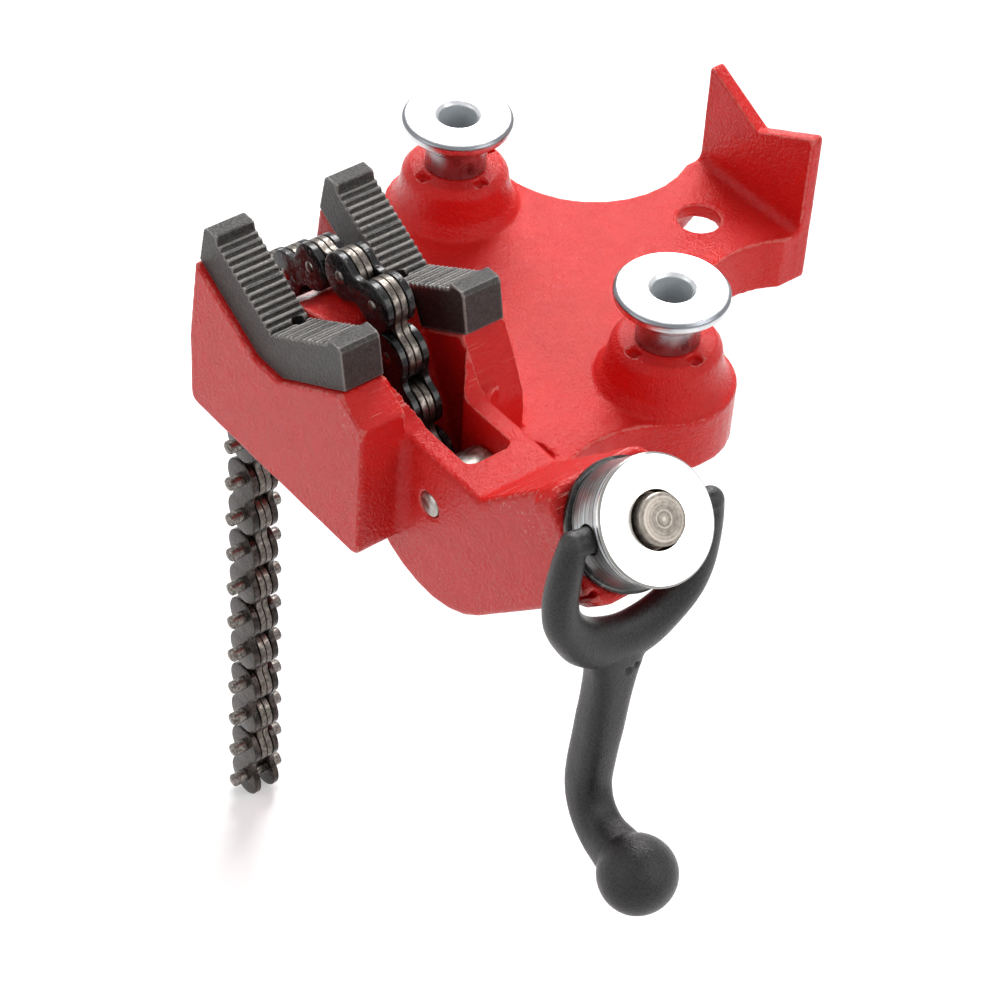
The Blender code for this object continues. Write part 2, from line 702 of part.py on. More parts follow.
def build_base():
    base = prism("vise_base", plate_outline(0), 0, PLATE_TOP)
    PARTS.objects.link(base)
    cut(base, prism("plate_pocket", plate_outline(SKIRT_WALL), -OVERRUN, PLATE_TOP - TOP_WALL))
    join(base, jaw_block())
    join(base, housing(), end_boss(), pipe_rest(), rest_fillet())
    join(base, web_fillet("front_web", -1, BLOCK_ROUND), web_fillet("rear_web", 1, PLATE_TOP - TOP_WALL))
    join(base, spool_boss("left_boss", -1), spool_boss("right_boss", 1))
    join(base, block("saddle", (HANG_X + LOBE_R, -CHANNEL_HALF + CLEAR, BLOCK_ROUND),
                     (CROWN_X + SLOT_HALF, CHANNEL_HALF - CLEAR, SADDLE_TOP)))
    roller_room = rod("roller_room", ROLLER_R + CHAIN_CLEAR / 2, CLEAR - SLOT_HALF, SLOT_HALF - CLEAR,
                      across(ROLLER_X, ROLLER_Z), 24)
    cut(base, chain_way(), pit_end(), roller_room)
    cut(base, rod("screw_bore", BORE_R, -BORE_R / 2, HOUSING_END + OVERRUN, AXIS_FRAME, 24))
    join(base, hook("front_hook", -1), hook("rear_hook", 1))
    cut(base, rod("cross_hole", CROSS_PIN_R + CLEAR, -BLOCK_HALF, BLOCK_HALF,
                  across(ROLLER_X, ROLLER_Z), 20))
    for name, side in (("left", -1), ("right", 1)):
        place = Matrix.Translation((side * LOBE_X, LOBE_Y, 0))
        cut(base, rod(name + "_bolt_hole", BOLT_R, -OVERRUN, BOSS_TOP + OVERRUN, place, 24))
        cut(base, boss_notches(name + "_notches", side))
    cut(base, rod("rear_hole", REAR_HOLE_R, -OVERRUN, PLATE_TOP + OVERRUN,
                  Matrix.Translation((0, REAR_HOLE_Y, 0)), 24))
    cut(base, rod("small_hole", SMALL_HOLE_R, -OVERRUN, PLATE_TOP + OVERRUN,
                  Matrix.Translation((SMALL_HOLE_X, SMALL_HOLE_Y, 0)), 16))
    for name, side in (("front", -1), ("rear", 1)):
        place = Matrix.Translation((0, side * JAW_SCREW_Y, 0))
        head_r = JAW_SCREW_HEAD_R + CLEAR
        profile = [(0, SEAT_FLAT_Z + OVERRUN), (JAW_SCREW_R + CLEAR, SEAT_FLAT_Z + OVERRUN),
                   (JAW_SCREW_R + CLEAR, JAW_SCREW_SEAT_Z), (head_r, JAW_SCREW_SEAT_Z),
                   (head_r, -OVERRUN), (0, -OVERRUN)]
        cut(base, turned(name + "_jaw_screw_hole", profile, place, 16))
    oil = AXIS_FRAME @ Matrix.Translation((OIL_HOLE_DROP, -OIL_HOLE_Y, 0))
    cut(base, rod("oil_hole", OIL_HOLE_R, HOUSING_END - OIL_HOLE_DEPTH, HOUSING_END + OVERRUN, oil, 8))
    return part(base, ENAMEL)


def jaw_outline():
    """A jaw from the side: a toothed V between two raised caps."""
    seat_end_z = SEAT_END_Z + CLEAR
    seat_flat_z = SEAT_FLAT_Z + CLEAR
    end = Vector((TOOTH_END_X, TOOTH_END_Z))
    apex = Vector((0, TOOTH_APEX_Z))
    flank = (end - apex) / TOOTH_COUNT
    square = Vector((-flank.y, flank.x)).normalized()
    teeth = []
    for k in range(TOOTH_COUNT):
        teeth.append(apex + flank * k - square * TOOTH_DEPTH)
        teeth.append(apex + flank * (k + 1 / 3))
        teeth.append(apex + flank * (k + 2 / 3))
    right = [(p.x, p.y) for p in teeth[1:]] + [(end.x, end.y - TOOTH_DEPTH)]
    cap = [(CAP_INNER_X - CAP_ROUND, CAP_TOP_Z - 2 * CAP_ROUND), (CAP_INNER_X, CAP_TOP_Z),
           (CAP_OUTER_X, CAP_TOP_Z), (CAP_OUTER_X + CAP_ROUND, CAP_TOP_Z - CAP_ROUND),
           (SEAT_END_X, seat_end_z)]
    lower = [(SEAT_FLAT_X, seat_flat_z), (-SEAT_FLAT_X, seat_flat_z)]
    left = [(-x, z) for x, z in reversed(right + cap)]
    return [(0, TOOTH_APEX_Z - TOOTH_DEPTH)] + right + cap + lower + left


def build_jaw(name, side):
    ends = sorted((side * JAW_INNER, side * JAW_OUTER))
    jaw = slab(name, jaw_outline(), *ends)
    profile = [(0, CAP_TOP_Z), (JAW_HOLE_R, CAP_TOP_Z), (JAW_HOLE_R, JAW_SCREW_TIP_Z + CLEAR),
               (JAW_SCREW_R + CLEAR, JAW_SCREW_TIP_Z + CLEAR), (JAW_SCREW_R + CLEAR, SEAT_FLAT_Z - OVERRUN),
               (0, SEAT_FLAT_Z - OVERRUN)]
    cut(jaw, turned(name + "_hole", profile, Matrix.Translation((0, side * JAW_SCREW_Y, 0)), 16))
    return part(jaw, JAW_STEEL)


def build_jaw_screw(name, side):
    head_low = JAW_SCREW_SEAT_Z - CLEAR - JAW_SCREW_HEAD
    chamfer = JAW_SCREW_HEAD / 8
    profile = [(0, JAW_SCREW_TIP_Z), (JAW_SCREW_R - chamfer, JAW_SCREW_TIP_Z),
               (JAW_SCREW_R, JAW_SCREW_TIP_Z - chamfer), (JAW_SCREW_R, JAW_SCREW_SEAT_Z - CLEAR),
               (JAW_SCREW_HEAD_R, JAW_SCREW_SEAT_Z - CLEAR), (JAW_SCREW_HEAD_R, head_low + chamfer),
               (JAW_SCREW_HEAD_R - chamfer, head_low), (0, head_low)]
    place = Matrix.Translation((0, side * JAW_SCREW_Y, 0))
    screw = turned(name, profile, place, 16)
    cut(screw, rod(name + "_socket", HEX_R, head_low - OVERRUN, head_low + HEX_DEPTH, place, 6))
    return part(screw, BLACK_SCREW)


def build_spool(name, side):
    foot = BOSS_TOP + CLEAR
    under = SPOOL_TOP - FLANGE_THICK
    mouth = BOLT_R + BORE_CHAMFER
    profile = [(mouth, SPOOL_TOP), (FLANGE_R - FLANGE_ROUND, SPOOL_TOP),
               (FLANGE_R, SPOOL_TOP - FLANGE_ROUND), (FLANGE_R, under + FLANGE_ROUND),
               (FLANGE_R - FLANGE_ROUND, under),
               (SPOOL_NECK_R, under - SPOOL_CONE_DROP), (SPOOL_NECK_R, foot), (BOLT_R, foot),
               (BOLT_R, SPOOL_TOP - BORE_CHAMFER)]
    place = Matrix.Translation((side * LOBE_X, LOBE_Y, 0))
    return part(turned(name, profile, place, ROUND_SIDES, True), ZINC)


def build_roller():
    half = ROLLER_HALF
    bore = CROSS_PIN_R + CLEAR
    chamfer = ROLLER_CHAMFER
    profile = [(bore, half), (ROLLER_R - chamfer, half), (ROLLER_R, half - chamfer),
               (ROLLER_R, chamfer - half), (ROLLER_R - chamfer, -half), (bore, -half)]
    pin = rod("cross_pin", CROSS_PIN_R, -HOUSING_SIDE, HOUSING_SIDE, across(ROLLER_X, ROLLER_Z), 20)
    part(pin, BARE_STEEL)
    return part(turned("chain_roller", profile, across(ROLLER_X, ROLLER_Z), 24, True), BARE_STEEL)


def build_washer():
    low = HOUSING_END + CLEAR
    high = low + WASHER_THICK
    bore = SCREW_R + 2 * CLEAR
    profile = [(bore, high), (WASHER_R, high), (WASHER_R, low), (bore, low)]
    return part(turned("thrust_washer", profile, AXIS_FRAME, ROUND_SIDES, True), BARE_STEEL)


def build_nut():
    half = NUT_THICK / 2
    bore = SCREW_R + CLEAR
    step = half - NUT_MOUTH_DEPTH
    groove = NUT_GROOVE
    profile = [(NUT_MOUTH_R, half), (NUT_R - NUT_EDGE, half), (NUT_R, half - NUT_EDGE)]
    profile += [(NUT_R, half - 3 * groove), (NUT_R - groove, half - 4 * groove), (NUT_R, half - 5 * groove)]
    profile += [(NUT_R, NUT_EDGE - half), (NUT_R - NUT_EDGE, -half)]
    profile += [(bore, -half), (bore, step), (NUT_MOUTH_R, step)]
    nut = turned("drive_nut", profile, NUT_FRAME, ROUND_SIDES, True)
    for name, side in (("front_prong_hole", -1), ("rear_prong_hole", 1)):
        ends = sorted((side * (PRONG_PIN_REACH - CLEAR), side * (NUT_R + OVERRUN)))
        place = NUT_FRAME @ Matrix.Rotation(-math.pi / 2, 4, "X")
        cut(nut, rod(name, PRONG_PIN_R + CLEAR, *ends, place, 16))
    return part(nut, ZINC)


def build_screw():
    """The chain screw: a tongue for the first link's pin and a threaded shank out through the nut."""
    high = NUT_FRONT + SCREW_PROUD
    chamfer = SCREW_CHAMFER
    start = EYE_AT + COLLAR_AT
    profile = [(0, high), (SCREW_R - chamfer, high), (SCREW_R, high - chamfer), (SCREW_R, start), (0, start)]
    screw = turned("chain_screw", profile, AXIS_FRAME, 24)
    PARTS.objects.link(screw)
    eye = FOOT + ALONG * EYE_AT
    end = Vector((COLLAR_AT + SCREW_R, 0))
    half = LOBE_R - CLEAR
    outline = arc(0, 0, half, 90, 270, 8) + [(end.x, -half), (end.x, half)]
    place = Matrix.Translation(to_world(eye)) @ Matrix.Rotation(-SCREW_ANGLE, 4, "Y") @ UPRIGHT
    outline = [(x, y * SCREW_R / half) for x, y in outline]
    join(screw, prism("eye_tongue", outline, -INNER_HALF, INNER_HALF, place))
    cut(screw, rod("eye_hole", PIN_R + CLEAR, -OVERRUN, OVERRUN, across(eye.x, eye.y), 12))
    return part(screw, BARE_STEEL)


def link_outline(reach=0.0):
    """A chain plate from the side: two lobes and a waist, the near pin at the origin."""
    lobe = LOBE_R + reach
    waist = WAIST_HALF + reach
    half = PITCH / 2
    hollow = (half * half + waist * waist - lobe * lobe) / (2 * (lobe - waist))
    high = waist + hollow
    way = math.degrees(math.atan2(high, half))
    points = arc(0, 0, lobe, way, 360 - way, 8)
    points += arc(half, -high, hollow, 180 - way, way, 3)[1:]
    points += arc(PITCH, 0, lobe, way - 180, 180 - way, 8)[1:]
    points += arc(half, high, hollow, -way, way - 180, 3)[1:-1]
    return points


def plain_mesh(made, name):
    """The finished mesh of a master shape, whose modifiers are applied."""
    solid = solid_from(made, name)
    mesh = solid.data
    mesh.transform(solid.matrix_world)
    bpy.data.objects.remove(solid)
    return mesh


def outer_link_mesh(name, pin_half):
    gap = INNER_HALF + CLEAR
    master = slab(name, link_outline(), gap, gap + PLATE_THICK)
    join(master, rod(name + "_near_pin", PIN_R, -pin_half, pin_half, across(0, 0), PIN_SIDES))
    join(master, rod(name + "_far_pin", PIN_R, -pin_half, pin_half, across(PITCH, 0), PIN_SIDES))
    join(master, slab(name + "_plate", link_outline(), -gap - PLATE_THICK, -gap))
    return plain_mesh(master, name)


def inner_link_mesh(name):
    """Two plates face to face, as one solid with a hole at each end."""
    master = slab(name, link_outline(), -INNER_HALF, INNER_HALF)
    for end in (0, PITCH):
        hole = rod(name + "_hole", PIN_R + CLEAR, -OVERRUN, OVERRUN, across(end, 0), PIN_SIDES)
        cut(master, hole)
    return plain_mesh(master, name)


def build_chain(screw):
    short = outer_link_mesh("outer_link", PIN_FLUSH_HALF)
    long = outer_link_mesh("outer_link_long", PIN_LONG_HALF)
    inner = inner_link_mesh("inner_link")
    carrier = screw
    for k in range(1, LINK_COUNT + 1):
        start = PINS[k - 1]
        way = PINS[k] - start
        mesh = inner
        material = BROWN_PLATE
        if k % 2:
            mesh = long if k >= FIRST_LONG_LINK else short
            material = OILED_PLATE
        link = bpy.data.objects.new(f"chain_link_{k:02d}", mesh)
        turn = Matrix.Rotation(-math.atan2(way.y, way.x), 4, "Y")
        link.matrix_world = Matrix.Translation(to_world(start)) @ turn
        carrier = part(link, material, carrier)


def tube(name, points, radius, frame, resolution=2):
    """A round bar along points of the frame's X-Z plane, given with their own share of the radius."""
    curve = bpy.data.curves.new(name, "CURVE")
    curve.dimensions = "3D"
    curve.bevel_depth = radius
    curve.bevel_resolution = resolution
    curve.use_fill_caps = True
    spline = curve.splines.new("POLY")
    spline.points.add(len(points) - 1)
    for point, (place, share) in zip(spline.points, points):
        point.co = (*place, 1)
        point.radius = share
    bar = bpy.data.objects.new(name, curve)
    bar.matrix_world = frame
    return solid_from(bar, name)


def handle_frame():
    """Local X runs along the prongs' axis, local Z up the handle, with the origin between the prongs."""
    place = NUT_FRAME.translation
    across_nut = (NUT_FRAME.to_3x3() @ Vector((0, 1, 0))).normalized()
    up = Vector((0, 0, 1))
    up = (up - across_nut * up.dot(across_nut)).normalized()
    out = up.cross(across_nut).normalized()
    turn = Matrix((across_nut, out, up)).transposed().to_4x4()
    return Matrix.Translation(place) @ turn


def build_handle(nut):
    """A forged fork: two prongs whose turned-in ends sit in the nut, a shank and a ball."""
    frame = handle_frame()
    shoulder = PRONG_R * PRONG_TOP_SHARE + PRONG_GAP / 2
    spread = NUT_R + PRONG_GAP + shoulder
    corner = FORK_ROUND
    wide = spread + FORK_FLARE
    flat = [(spread, 0), (spread + FORK_FLARE / 2, -FLARE_DEPTH / 2), (wide, -FLARE_DEPTH)]
    flat += arc(wide - corner, corner - FORK_DEPTH, corner, 0, -90, 5)
    flat += [(-x, z) for x, z in reversed(flat)]
    gain = (FORK_BOTTOM_SHARE - PRONG_TOP_SHARE) / FORK_DEPTH ** 2
    fork = tube("handle", [((x, 0, z), PRONG_TOP_SHARE + gain * z * z) for x, z in flat], PRONG_R, frame)
    PARTS.objects.link(fork)
    for name, side in (("front_prong_pin", -1), ("rear_prong_pin", 1)):
        ends = sorted((side * PRONG_PIN_REACH, side * spread))
        join(fork, rod(name, PRONG_PIN_R, *ends, frame @ Matrix.Rotation(math.pi / 2, 4, "Y"), 12))
        knob = turned(name + "_shoulder", arc(0, 0, shoulder, 90, -90, 6),
                      frame @ Matrix.Translation((side * spread, 0, PRONG_GAP / 4)), 14)
        join(fork, knob)
    bend = BEND_R - BALL_DEPTH
    down = [((0, 0, -FORK_DEPTH), SHANK_TOP_SHARE), ((0, 0, bend), 1)]
    for k in range(1, BEND_STEPS + 1):
        angle = math.pi / 2 * k / BEND_STEPS
        place = (0, BEND_R * (math.cos(angle) - 1), bend - BEND_R * math.sin(angle))
        down.append((place, SHANK_END_SHARE))
    down.append(((0, -BALL_FORWARD, -BALL_DEPTH), SHANK_END_SHARE))
    join(fork, tube("shank", down, SHANK_R, frame))
    ball = bpy.data.meshes.new("ball")
    shape = bmesh.new()
    bmesh.ops.create_uvsphere(shape, u_segments=20, v_segments=12, radius=BALL_R)
    shape.to_mesh(ball)
    shape.free()
    knob = bpy.data.objects.new("ball", ball)
    knob.matrix_world = frame @ Matrix.Translation((0, -BALL_FORWARD, -BALL_DEPTH))
    join(fork, knob)
    return part(fork, BLACK_FORGING, nut)


build_base()
build_jaw("front_jaw", -1)
build_jaw("rear_jaw", 1)
build_jaw_screw("front_jaw_screw", -1)
build_jaw_screw("rear_jaw_screw", 1)
build_spool("left_bender_spool", -1)
build_spool("right_bender_spool", 1)
build_roller()
build_washer()
drive_nut = build_nut()
build_chain(build_screw())
build_handle(drive_nut)
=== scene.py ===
import json
import math

import bmesh
import bpy
import numpy as np
from mathutils import Matrix, Vector, noise


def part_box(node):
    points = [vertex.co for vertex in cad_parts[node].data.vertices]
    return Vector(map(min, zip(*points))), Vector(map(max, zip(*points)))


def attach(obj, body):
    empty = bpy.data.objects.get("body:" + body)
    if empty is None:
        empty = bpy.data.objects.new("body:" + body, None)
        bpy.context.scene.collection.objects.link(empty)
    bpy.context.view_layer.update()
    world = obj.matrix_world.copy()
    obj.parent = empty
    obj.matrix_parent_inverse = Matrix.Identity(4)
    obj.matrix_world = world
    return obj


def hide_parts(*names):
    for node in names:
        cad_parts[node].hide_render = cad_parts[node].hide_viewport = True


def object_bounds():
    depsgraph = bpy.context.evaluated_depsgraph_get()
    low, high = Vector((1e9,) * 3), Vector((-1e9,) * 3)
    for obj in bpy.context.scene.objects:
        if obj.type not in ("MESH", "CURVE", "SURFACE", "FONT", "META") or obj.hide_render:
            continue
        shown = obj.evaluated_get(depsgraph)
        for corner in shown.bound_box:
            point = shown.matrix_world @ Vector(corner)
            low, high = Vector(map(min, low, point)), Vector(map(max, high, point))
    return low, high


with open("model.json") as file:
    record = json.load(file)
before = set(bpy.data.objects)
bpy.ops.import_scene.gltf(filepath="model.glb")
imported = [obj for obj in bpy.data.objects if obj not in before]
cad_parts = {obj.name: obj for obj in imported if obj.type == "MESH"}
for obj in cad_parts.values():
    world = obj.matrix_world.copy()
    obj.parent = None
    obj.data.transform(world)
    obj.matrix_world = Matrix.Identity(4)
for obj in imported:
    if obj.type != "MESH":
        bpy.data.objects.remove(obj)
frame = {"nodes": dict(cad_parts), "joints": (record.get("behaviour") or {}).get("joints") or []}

cad_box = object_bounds()
mm = 0.001


# Base casting
# One piece of sand-cast iron: jaw block, plate, bosses, pipe rest and the screw's housing. It is milled on the
# jaw seats, the slot's mouth and the boss tops, and dipped in glossy red enamel, which chips on milled edges.
CASTING_VOXEL = 0.75 * mm
CASTING_ROUNDS = 9
CASTING_REACH = 0.45 * mm
CASTING_WAVE = 0.10 * mm
CASTING_WAVE_LENGTH = 14 * mm
SOFT_ROUNDS = 80
SOFT_BACK = 0.515
EDGE_ROUNDS = 14
SPOOL_ACROSS = 61.7 * mm
SPOOL_BACK = 94.5 * mm
PLATE_FROM = 60 * mm
PLATE_SOFTNESS = 0.75
LAND_SOFTNESS = 0.15
# The pairs are where a change over the surface starts and ends.
BOSS_TURNED = (17 * mm, 20 * mm)
BOSS_SIDE = (20 * mm, 26 * mm)
LAND_NEAR = (33 * mm, 38 * mm)
LAND_FAR = (72 * mm, 80 * mm)
LAND_SIDE = (15 * mm, 19 * mm)
MILLED_FROM = (42 * mm, 48 * mm)
SLOPE_ACROSS = (41 * mm, 44 * mm)
SLOPE_UP = (49 * mm, 55 * mm)
WELD_GAP = 0.001 * mm
ENAMEL_RED = (0.720, 0.0150, 0.0115)
ENAMEL_DEEP = (0.670, 0.0125, 0.0110)
ENAMEL_SCRAPED = (0.83, 0.23, 0.20)
ENAMEL_PEEL = 0.95 * mm


def show(name, mesh):
    """An object of the mesh in the scene."""
    made = bpy.data.objects.new(name, mesh)
    bpy.context.scene.collection.objects.link(made)
    return made


def settled(made):
    """The object with its modifiers applied."""
    graph = bpy.context.evaluated_depsgraph_get()
    mesh = bpy.data.meshes.new_from_object(made.evaluated_get(graph))
    made.modifiers.clear()
    made.data = mesh
    return made


def even_skin(made, voxel):
    """The object as one even, fine mesh, with what overlaps fused."""
    shape = bmesh.new()
    shape.from_mesh(made.data)
    bmesh.ops.remove_doubles(shape, verts=shape.verts, dist=WELD_GAP)
    shape.to_mesh(made.data)
    shape.free()
    remesh = made.modifiers.new("even", "REMESH")
    remesh.mode = "VOXEL"
    remesh.voxel_size = voxel
    return settled(made)


def points_of(mesh):
    """The mesh's vertices as rows of x, y, z."""
    flat = np.empty(len(mesh.vertices) * 3)
    mesh.vertices.foreach_get("co", flat)
    return flat.reshape(-1, 3)


def eased(mesh, points, rounds, back=0.53):
    """The points drawn towards their neighbours, which rounds corners. Back pushes out against shrinking."""
    ends = np.empty(len(mesh.edges) * 2, dtype=np.int64)
    mesh.edges.foreach_get("vertices", ends)
    a, b = ends.reshape(-1, 2).T
    count = len(points)
    number = np.bincount(ends, minlength=count)[:, None]
    for i in range(rounds):
        for share in (0.5, -back):
            total = [np.bincount(a, points[b, k], count) + np.bincount(b, points[a, k], count)
                     for k in range(3)]
            points = points + share * (np.stack(total, 1) / number - points)
            if not back:
                break
    return points


def normals_of(mesh):
    """The mesh's vertex normals as rows of x, y, z."""
    flat = np.empty(len(mesh.vertices) * 3)
    mesh.vertex_normals.foreach_get("vector", flat)
    return flat.reshape(-1, 3)


def foundry_finish(made, node, rounds, reach, wave=0.0, length=1.0, softness=None):
    """Round the corners and add a slow waviness, inside the box of the node where one is given.

    The attribute edge says how far the surface turns outwards, in shares of reach.
    """
    mesh = made.data
    points = eased(mesh, points_of(mesh), rounds)
    if softness:
        share = np.array([softness(*p) for p in points])[:, None]
        points = points + (eased(mesh, points, SOFT_ROUNDS, SOFT_BACK) - points) * share
    if wave:
        lift = [noise.noise(Vector(p) / length) for p in points]
        mesh.vertices.foreach_set("co", points.ravel())
        points = points + normals_of(mesh) * np.array(lift)[:, None] * wave
    if node:
        points = np.clip(points, *[tuple(corner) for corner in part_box(node)])
    mesh.vertices.foreach_set("co", points.ravel())
    mesh.update()
    flatter = eased(mesh, points, EDGE_ROUNDS, 0)
    turn = ((points - flatter) * normals_of(mesh)).sum(1) / reach
    edge = mesh.attributes.new("edge", "FLOAT", "POINT")
    edge.data.foreach_set("value", np.clip(turn, -1, 1).astype(np.float32))
    mesh.shade_smooth()


def put(tree, kind, inputs=None, **settings):
    """A node with its settings, its sockets filled from values or from other nodes' outputs."""
    made = tree.nodes.new(kind)
    for name, value in settings.items():
        setattr(made, name, value)
    for socket, value in (inputs or {}).items():
        if isinstance(value, bpy.types.NodeSocket):
            tree.links.new(value, made.inputs[socket])
        else:
            made.inputs[socket].default_value = value
    return made


def dress(made, finish):
    """Give the object this one material."""
    made.data.materials.clear()
    made.data.materials.append(finish)


def math_of(tree, operation, a, b=0.0, c=0.0, clamp=False):
    """The result of one sum."""
    made = put(tree, "ShaderNodeMath", {0: a, 1: b, 2: c}, operation=operation, use_clamp=clamp)
    return made.outputs[0]


def blend_of(tree, factor, low, high):
    """A colour between two colours."""
    low, high = [(*c, 1) if isinstance(c, tuple) else c for c in (low, high)]
    made = put(tree, "ShaderNodeMix", {0: factor, 6: low, 7: high}, data_type="RGBA")
    return made.outputs[2]


def step_of(tree, value, start, end, low=0.0, high=1.0):
    """The value's rise from start to end, mapped smoothly to low and high."""
    made = put(tree, "ShaderNodeMapRange", {0: value, 1: start, 2: end, 3: low, 4: high},
               interpolation_type="SMOOTHSTEP")
    return made.outputs[0]


def place_of(tree):
    """The point on the piece, in metres."""
    return put(tree, "ShaderNodeTexCoord").outputs["Object"]


def grain_of(tree, size, detail=2.0, rough=0.5, where=None):
    """Noise whose lumps are about size metres across."""
    inputs = {"Vector": where or place_of(tree), "Scale": 1 / size, "Detail": detail, "Roughness": rough}
    return put(tree, "ShaderNodeTexNoise", inputs).outputs[0]


def group_of(name, inputs, outputs):
    """An empty shader group: its tree, input node and output node. Three numbers make a vector input."""
    tree = bpy.data.node_groups.new(name, "ShaderNodeTree")
    for socket, value in inputs.items():
        kind = "NodeSocketVector" if isinstance(value, tuple) else "NodeSocketFloat"
        made = tree.interface.new_socket(socket, in_out="INPUT", socket_type=kind)
        made.default_value = value
    for socket in outputs:
        tree.interface.new_socket(socket, in_out="OUTPUT", socket_type="NodeSocketFloat")
    return tree, tree.nodes.new("NodeGroupInput"), tree.nodes.new("NodeGroupOutput")


# Rough skin: coarse lumps of the mould and the fine grain over them, as one height from 0 to 1.
rough_skin, given, result = group_of("rough skin", {"Coarse": 600.0, "Fine": 1800.0, "Share": 0.5}, ["Height"])
spot = place_of(rough_skin)
coarse = put(rough_skin, "ShaderNodeTexNoise", {"Vector": spot, "Scale": given.outputs["Coarse"],
                                                "Detail": 2.0}).outputs[0]
fine = put(rough_skin, "ShaderNodeTexNoise", {"Vector": spot, "Scale": given.outputs["Fine"],
                                              "Detail": 3.0}).outputs[0]
both = put(rough_skin, "ShaderNodeMix", {0: given.outputs["Share"], 2: coarse, 3: fine}).outputs[0]
rough_skin.links.new(both, result.inputs["Height"])

# Worn edge: where the mesh turns outwards and a patchy noise agrees, from 0 to 1.
worn_edge, given, result = group_of("worn edge", {"Start": 0.3, "End": 0.7, "Patch": 250.0, "Patchy": 0.6},
                                    ["Mask"])
turned_out = put(worn_edge, "ShaderNodeAttribute", attribute_name="edge").outputs["Fac"]
patch = put(worn_edge, "ShaderNodeTexNoise", {"Vector": place_of(worn_edge), "Scale": given.outputs["Patch"],
                                              "Detail": 4.0, "Roughness": 0.7}).outputs[0]
shift = math_of(worn_edge, "MULTIPLY", math_of(worn_edge, "SUBTRACT", patch, 0.5), given.outputs["Patchy"])
uneven = math_of(worn_edge, "ADD", turned_out, shift)
mask = step_of(worn_edge, uneven, given.outputs["Start"], given.outputs["End"])
worn_edge.links.new(mask, result.inputs["Mask"])

# Streaks: noise with so many lumps to the metre along Y and across it.
streaks, given, result = group_of("streaks", {"Across": 900.0, "Along": 45.0}, ["Height"])
scale = put(streaks, "ShaderNodeCombineXYZ", {"X": given.outputs["Across"], "Y": given.outputs["Along"],
                                              "Z": given.outputs["Across"]}).outputs[0]
drawn_out = put(streaks, "ShaderNodeMapping", {"Vector": place_of(streaks), "Scale": scale}).outputs[0]
streaks.links.new(grain_of(streaks, 1.0, 2.0, 0.6, drawn_out), result.inputs["Height"])

# Patches: a cloudy noise pushed towards 0 and 1, for stains, dull spots and worn spots.
patches, given, result = group_of("patches", {"Scale": 200.0, "Detail": 3.0, "Roughness": 0.6, "Start": 0.35,
                                              "End": 0.7}, ["Mask"])
cloud = put(patches, "ShaderNodeTexNoise", {"Vector": place_of(patches), "Scale": given.outputs["Scale"],
                                            "Detail": given.outputs["Detail"],
                                            "Roughness": given.outputs["Roughness"]}).outputs[0]
mask = step_of(patches, cloud, given.outputs["Start"], given.outputs["End"])
patches.links.new(mask, result.inputs["Mask"])


def patches_in(tree, size, start, end, detail=3.0, rough=0.6):
    """Patches about size metres across."""
    return group_in(tree, patches, Scale=1 / size, Detail=detail, Roughness=rough, Start=start, End=end)


def finish_of(name):
    """A new material: the material, its tree and its Principled shader."""
    made = bpy.data.materials.new(name)
    made.use_nodes = True
    return made, made.node_tree, made.node_tree.nodes["Principled BSDF"]


def wire(tree, shader, **sockets):
    """Fill the shader's sockets, whose names are written with _ for a space."""
    for name, value in sockets.items():
        socket = shader.inputs[name.replace("_", " ")]
        if isinstance(value, bpy.types.NodeSocket):
            tree.links.new(value, socket)
        else:
            socket.default_value = (*value, 1) if isinstance(value, tuple) else value


def bump_of(tree, height, depth):
    """The normal over bumps whose height from 0 to 1 is depth metres."""
    return put(tree, "ShaderNodeBump", {"Height": height, "Distance": depth, "Strength": 1.0}).outputs[0]


def group_in(tree, group, **values):
    """The first output of a shader group, with its inputs set."""
    made = tree.nodes.new("ShaderNodeGroup")
    made.node_tree = group
    for name, value in values.items():
        socket = made.inputs[name]
        if isinstance(value, bpy.types.NodeSocket):
            tree.links.new(value, socket)
        else:
            socket.default_value = value
    return made.outputs[0]


enamel, tree, shader = finish_of("red enamel")
axes = put(tree, "ShaderNodeSeparateXYZ", {0: place_of(tree)})
skin = group_in(tree, rough_skin, Coarse=620.0, Fine=1300.0, Share=0.5)
chipped = group_in(tree, worn_edge, Start=0.66, End=0.86, Patch=420.0, Patchy=0.9)
# The scraped lines run along Y on the milled slopes beside the jaws' low ends.
lines = group_in(tree, streaks, Across=900.0, Along=45.0)
slope = math_of(tree, "MULTIPLY", step_of(tree, axes.outputs["X"], *SLOPE_ACROSS),
                step_of(tree, axes.outputs["Z"], *SLOPE_UP))
scraped = math_of(tree, "MULTIPLY", step_of(tree, lines, 0.62, 0.70), slope)
marked = math_of(tree, "MAXIMUM", math_of(tree, "MULTIPLY", chipped, 0.5), scraped, clamp=True)
red = blend_of(tree, patches_in(tree, 9 * mm, 0.35, 0.70), ENAMEL_DEEP, ENAMEL_RED)
wire(tree, shader, Base_Color=blend_of(tree, marked, red, ENAMEL_SCRAPED),
     Roughness=step_of(tree, skin, 0.30, 0.75, 0.16, 0.26), Specular_IOR_Level=0.21,
     Normal=bump_of(tree, skin, ENAMEL_PEEL))


def fade(value, start, end):
    """0 before start and 1 after end, smooth between."""
    t = min(max((value - start) / (end - start), 0), 1)
    return t * t * (3 - 2 * t)


